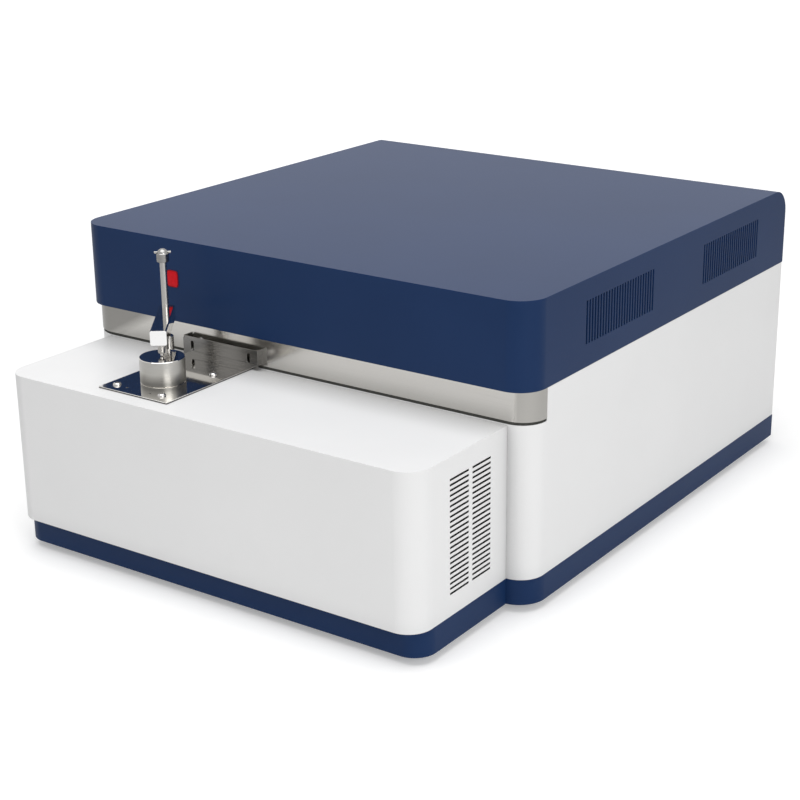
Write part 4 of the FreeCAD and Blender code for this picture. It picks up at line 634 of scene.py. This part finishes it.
def hub(steps=72):
    """Cup of the rotor: a profile of radius against depth, in millimetres, turned about the fan's axis."""
    radius = np.array([0, 15.5, 16.6, 17, 17, 16.4, 15, 6, 5.4, 0])[:, None] * mm
    depth = np.array([3.5, 3.5, 3.8, 4.6, 21.5, 22.6, 23, 23, 22.6, 22.6])[:, None] * mm
    turn = np.linspace(0, 2 * np.pi, steps, endpoint=False)
    points = np.stack([radius * np.cos(turn), fan_near + depth + 0 * turn, radius * np.sin(turn)], -1)
    return points.reshape(-1, 3), grid_faces(len(radius), steps)[:, ::-1]


def blade(number, spans=16, chords=14):
    """Fan blade: an ellipse of chord length by thickness, all growing or shrinking evenly from root to tip,
    twisted less towards the tip, bent onto the circle of each radius and swept forward by the span to the
    power of 1.5. A point closes each end."""
    span = np.linspace(0, 1, spans)[:, None]
    loop = np.linspace(0, 2 * np.pi, 2 * chords, endpoint=False)
    radius = blade_root + (blade_tip - blade_root) * span
    twist = root_twist + (tip_twist - root_twist) * span
    chord = np.cos(loop) / 2 * (root_length + (tip_length - root_length) * span)
    thick = np.sin(loop) / 2 * (root_thickness + (tip_thickness - root_thickness) * span)
    around = chord * np.cos(twist) - thick * np.sin(twist)
    depth = blade_middle + chord * np.sin(twist) * flattening + thick * np.cos(twist)
    angle = 2 * np.pi * number / blade_count + around / radius + sweep * span ** 1.5
    rows = np.stack([radius * np.cos(angle), fan_near + depth, radius * np.sin(angle)], -1)
    ends = rows[[0, -1]].mean(1, keepdims=True) + 0 * rows[[0, -1]]
    points = np.concatenate([ends[:1], rows, ends[1:]])
    return points.reshape(-1, 3), grid_faces(spans + 2, 2 * chords)[:, ::-1]


for x, body in zip(fan_middles, ("fan_rotor_left", "fan_rotor_right")):
    points, faces = together([hub()] + [blade(number) for number in range(blade_count)])
    rotor = add_mesh(body + "_blades", points + [x, 0, fan_height], faces, body)
    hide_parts(body)
    finish(rotor, black_plastic)

# Mains inlet and switch
# Snap-in appliance inlet with nickel plated pins, and a rocker on round pivots in its own housing.
gloss_plastic, tree, surface = shader("glossy black plastic", Roughness=0.2)
moulding = pattern(tree, "Noise", Scale=220.0, Detail=3.0)
spread(tree, moulding, (0.012, 0.012, 0.012), (0.02, 0.02, 0.021), surface.inputs["Base Color"])
finish(soften("mains_inlet", radius=0.0005), gloss_plastic)
nickel = brushed("nickel plating", bright=(0.72, 0.68, 0.60), dull=(0.64, 0.60, 0.53),
                 rough=0.2, stretch=(600, 200, 600), depth=0.000006)
finish(soften("mains_inlet_pins", radius=0.0003), nickel)
finish(soften("switch_housing", radius=0.0004), gloss_plastic)
finish(soften("switch_rocker", radius=0.0005), gloss_plastic)

# Data ports
# Tinned steel port plate on the rear panel; the two shells behind it hold black moulded socket
# wells.
ports_low, ports_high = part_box("data_ports")
port_height = (ports_low[2] + ports_high[2]) / 2
wide_port, narrow_port = ports_low[0] + 17 * mm, ports_low[0] + 47 * mm
wide_half, narrow_half, well_half = 6.2 * mm, 4.5 * mm, 4.7 * mm
well_floor, well_mouth = ports_high[1] - 14.4 * mm, ports_high[1] - 1.3 * mm


def socket_wells(at, facing):
    """Holds for the faces inside the two socket wells, behind the port plate's outer face."""
    in_depth = (at[:, 1] > well_floor) & (at[:, 1] < well_mouth)
    in_height = np.abs(at[:, 2] - port_height) < well_half
    in_wide = np.abs(at[:, 0] - wide_port) < wide_half
    in_narrow = np.abs(at[:, 0] - narrow_port) < narrow_half
    return in_depth & in_height & (in_wide | in_narrow)


tinned = brushed("tinned steel", bright=(0.66, 0.66, 0.66), dull=(0.56, 0.56, 0.56),
                 rough=0.28, stretch=(200, 200, 200), depth=0.00001)
two_finishes(soften("data_ports", radius=0.0002), tinned, black_plastic, socket_wells)

# Gas fittings and nuts
# Turned brass bulkhead fittings, the inlet's nose cut with a fine thread, locked by nuts inside.
threaded, tree, surface = shader("threaded brass", Metallic=1.0, Roughness=0.24)
thread = pattern(tree, "Wave", Scale=160.0, bands_direction="Y")
spread(tree, thread, (0.42, 0.30, 0.13), (0.76, 0.57, 0.28), surface.inputs["Base Color"])
relief(tree, surface, thread, height=0.0004)
inlet_low, inlet_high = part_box("argon_inlet_fitting")
inlet_x, inlet_z = (inlet_low[0] + inlet_high[0]) / 2, (inlet_low[2] + inlet_high[2]) / 2
nose_start = inlet_high[1] - 13.7 * mm
bore_radius = 5 * mm


def outer_nose(at, facing):
    """Holds round the outside of the inlet's nose: past the nut, outside the bore, not on its end."""
    outside = np.hypot(at[:, 0] - inlet_x, at[:, 2] - inlet_z) > bore_radius
    return (at[:, 1] > nose_start) & outside & (np.abs(facing[:, 1]) < mostly)


two_finishes(soften("argon_inlet_fitting", radius=0.0003), brass, threaded, outer_nose)
finish(soften("argon_exhaust_fitting", radius=0.0003), brass)
finish(soften("gas_fitting_nuts", radius=0.0002), brass)

# Post and sleeve
# Ground steel post turning in a steel sleeve that is screwed into the spark chamber's flange.
turned_steel = brushed("turned steel", bright=(0.50, 0.49, 0.475), dull=(0.43, 0.42, 0.405),
                       rough=0.22, stretch=(50, 50, 2600), depth=0.000006)
finish(soften("post_sleeve", radius=0.0002), turned_steel)
finish(soften("clamp_post", radius=0.0002), turned_steel)

# Knob and cross pin
# Turned knob with a domed top, pinned across to the post.
knob_steel = brushed("darkened turned steel", bright=(0.34, 0.335, 0.325), dull=(0.27, 0.265, 0.26),
                     rough=0.2, stretch=(50, 50, 2600), depth=0.000006)
finish(soften("clamp_knob", radius=0.0003), knob_steel)
finish(soften("knob_cross_pin", radius=0.0003), knob_steel)

# Clamp arm
# Square bar with milled bevels, mirror polished; its nose is finely ground.
nose_steel = brushed("finely ground steel", bright=(1.0, 1.0, 0.99), dull=(0.97, 0.97, 0.96),
                     rough=0.12, stretch=(500, 500, 2600), depth=0.000002)
arm_turn = math.radians(-53.05)
arm_way = np.array([math.cos(arm_turn), math.sin(arm_turn), 0])
nearly = 0.9
two_finishes(soften("clamp_arm", radius=0.0002), mirror_steel, nose_steel,
             lambda at, facing: facing @ arm_way > nearly)

# Pressure pin, collar and spring
# Turned collar pressed into the arm, the pin sliding in it, and the coil spring above the pin's head.
finish(soften("pin_collar", radius=0.0002), turned_steel)
finish(soften("pressure_pin", radius=0.0002), turned_steel)
spring_wire = brushed("spring wire", bright=(0.52, 0.52, 0.52), dull=(0.42, 0.42, 0.42),
                      rough=0.25, stretch=(800, 800, 800), depth=0.000006)
coil_low, coil_high = np.array(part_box("pin_spring"))
coil_wire = 0.0003
coil_middle = (coil_low + coil_high) / 2
coil_radius = (coil_high[0] - coil_low[0]) / 2 - coil_wire
coil_turns = 5.0
closing = 0.45


def coil_spring(steps=300, sides=10):
    """Wire swept along a helix whose rise follows t minus the closing times sin(4 pi t) / (4 pi), so that
    the coils lie closer at both ends; the wire's circle stands square to the helix and shrinks to a point
    to close each end."""
    t = np.concatenate([[0], np.linspace(0, 1, steps), [1]])[:, None]
    size = np.concatenate([[0], np.ones(steps), [0]])[:, None] * coil_wire
    angle = 2 * np.pi * coil_turns * t
    rise = coil_high[2] - coil_low[2] - 2 * coil_wire
    z = coil_low[2] + coil_wire + rise * (t - closing * np.sin(4 * np.pi * t) / (4 * np.pi))
    slope = rise * (1 - closing * np.cos(4 * np.pi * t))
    speed = 2 * np.pi * coil_turns * coil_radius
    length = np.hypot(speed, slope)
    side = np.linspace(0, 2 * np.pi, sides, endpoint=False)
    out, up = size * np.cos(side), size * np.sin(side)
    reach = coil_radius + out
    x = coil_middle[0] + reach * np.cos(angle) + up * np.sin(angle) * slope / length
    y = coil_middle[1] + reach * np.sin(angle) - up * np.cos(angle) * slope / length
    return np.stack([x, y, z + up * speed / length], -1).reshape(-1, 3), grid_faces(len(t), sides)[:, ::-1]


points, faces = coil_spring()
spring = add_mesh("coil_spring", points, faces, "clamp_arm")
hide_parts("pin_spring")
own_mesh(spring)
finish(spring, spring_wire)

# Metal sample
# Disc of the steel under test, turned and polished, lying over the spark opening.
satin_steel = brushed("satin turned steel", bright=(0.49, 0.48, 0.455), dull=(0.45, 0.44, 0.415),
                      rough=0.3, stretch=(60, 60, 2600), depth=0.000003)
sample_height = 0.029
# Painted shade: the satin side darkens to 0.42 towards the plate and reaches full colour halfway up.
painted_shade_up_the_side = between(satin_steel.node_tree, upward, plate_top, plate_top + sample_height)
dim(satin_steel, painted_shade_up_the_side, low=0.42, high=1.0, start=0.12, end=0.5)
two_finishes(soften("metal_sample", radius=0.0003), mirror_steel, satin_steel, upright)

# Studio floor
# Pale table that runs out to white; near the case it is dimmer and keeps the soft shadow.
floor_reach = 14.0
floor_corners = np.array([(-1, -1, 0), (1, -1, 0), (1, 1, 0), (-1, 1, 0)]) * floor_reach
floor_mesh = bpy.data.meshes.new("studio_floor")
floor_mesh.from_pydata(floor_corners.tolist(), [], [(0, 1, 2, 3)])
studio_floor = bpy.data.objects.new("studio_floor", floor_mesh)
bpy.context.scene.collection.objects.link(studio_floor)
floor_paint, tree, surface = shader("studio floor", Roughness=0.9, Base_Color=(0.8, 0.8, 0.8, 1))
fade = 0.3
nearness = pattern(tree, "Gradient", (fade, fade, fade), gradient_type="SPHERICAL")
glow = tree.nodes.new("ShaderNodeEmission")
spread(tree, nearness, 0.72, 0.30, glow.inputs["Strength"], start=0.1, end=0.75)
both = tree.nodes.new("ShaderNodeAddShader")
seen_floor = tree.nodes.new("ShaderNodeMixShader")
ray = tree.nodes.new("ShaderNodeLightPath")
tree.links.new(surface.outputs["BSDF"], both.inputs[0])
tree.links.new(glow.outputs["Emission"], both.inputs[1])
tree.links.new(ray.outputs["Is Camera Ray"], seen_floor.inputs["Fac"])
tree.links.new(surface.outputs["BSDF"], seen_floor.inputs[1])
tree.links.new(both.outputs["Shader"], seen_floor.inputs[2])
tree.links.new(seen_floor.outputs["Shader"], tree.nodes["Material Output"].inputs["Surface"])
finish(studio_floor, floor_paint)

# Studio sky
# White surround for what the camera and the polished pieces see, a little dimmer as a light source.
sky_world = bpy.data.worlds.new("studio sky")
bpy.context.scene.world = sky_world
sky_world.use_nodes = True
sky = sky_world.node_tree
sky.nodes.clear()


def white_sky(strength):
    """White background of the given strength."""
    background = sky.nodes.new("ShaderNodeBackground")
    background.inputs["Color"].default_value = (1, 1, 1, 1)
    background.inputs["Strength"].default_value = strength
    return background.outputs["Background"]


def either(first, second):
    """The larger of two flags, which is 1 where either is."""
    larger = sky.nodes.new("ShaderNodeMath")
    larger.operation = "MAXIMUM"
    sky.links.new(first, larger.inputs[0])
    sky.links.new(second, larger.inputs[1])
    return larger.outputs["Value"]


sky_ray = sky.nodes.new("ShaderNodeLightPath").outputs
shown = either(either(sky_ray["Is Camera Ray"], sky_ray["Is Glossy Ray"]), sky_ray["Is Transmission Ray"])
sky_choice = sky.nodes.new("ShaderNodeMixShader")
sky_output = sky.nodes.new("ShaderNodeOutputWorld")
sky.links.new(shown, sky_choice.inputs["Fac"])
sky.links.new(white_sky(strength=0.42), sky_choice.inputs[1])
sky.links.new(white_sky(strength=1.0), sky_choice.inputs[2])
sky.links.new(sky_choice.outputs["Shader"], sky_output.inputs["Surface"])

# Studio lamps
# A wide soft box overhead and a second one to the right of the camera.


def soft_box(name, place, aim, width, height, power):
    """Rectangular soft lamp at a place, turned towards a point."""
    light = bpy.data.lights.new(name, "AREA")
    light.shape = "RECTANGLE"
    light.size = width
    light.size_y = height
    light.energy = power
    lamp = bpy.data.objects.new(name, light)
    bpy.context.scene.collection.objects.link(lamp)
    lamp.location = place
    lamp.rotation_euler = (Vector(aim) - Vector(place)).to_track_quat("-Z", "Y").to_euler()


case_middle = (0, 0, 0.2)
soft_box("overhead soft box", (0.1, -0.5, 3.0), aim=case_middle, width=3.0, height=3.0, power=68)
soft_box("right soft box", (2.6, -1.5, 1.3), aim=case_middle, width=1.6, height=1.6, power=27)

# Camera
# Long lens from the front right, above the case.
camera_tilt = math.radians(70.61)
camera_turn = math.radians(33.43)
camera_data = bpy.data.cameras.new("camera")
camera_data.lens = 77.3
camera_data.sensor_width = 36.0
camera_data.shift_x = -0.0766
camera_data.shift_y = -0.0095
camera_data.clip_end = 100
camera = bpy.data.objects.new("camera", camera_data)
camera.location = (1.1867, -1.6937, 0.8544)
camera.rotation_euler = (camera_tilt, 0, camera_turn)
bpy.context.scene.collection.objects.link(camera)
bpy.context.scene.camera = camera
bpy.context.scene.view_settings.view_transform = "Standard"
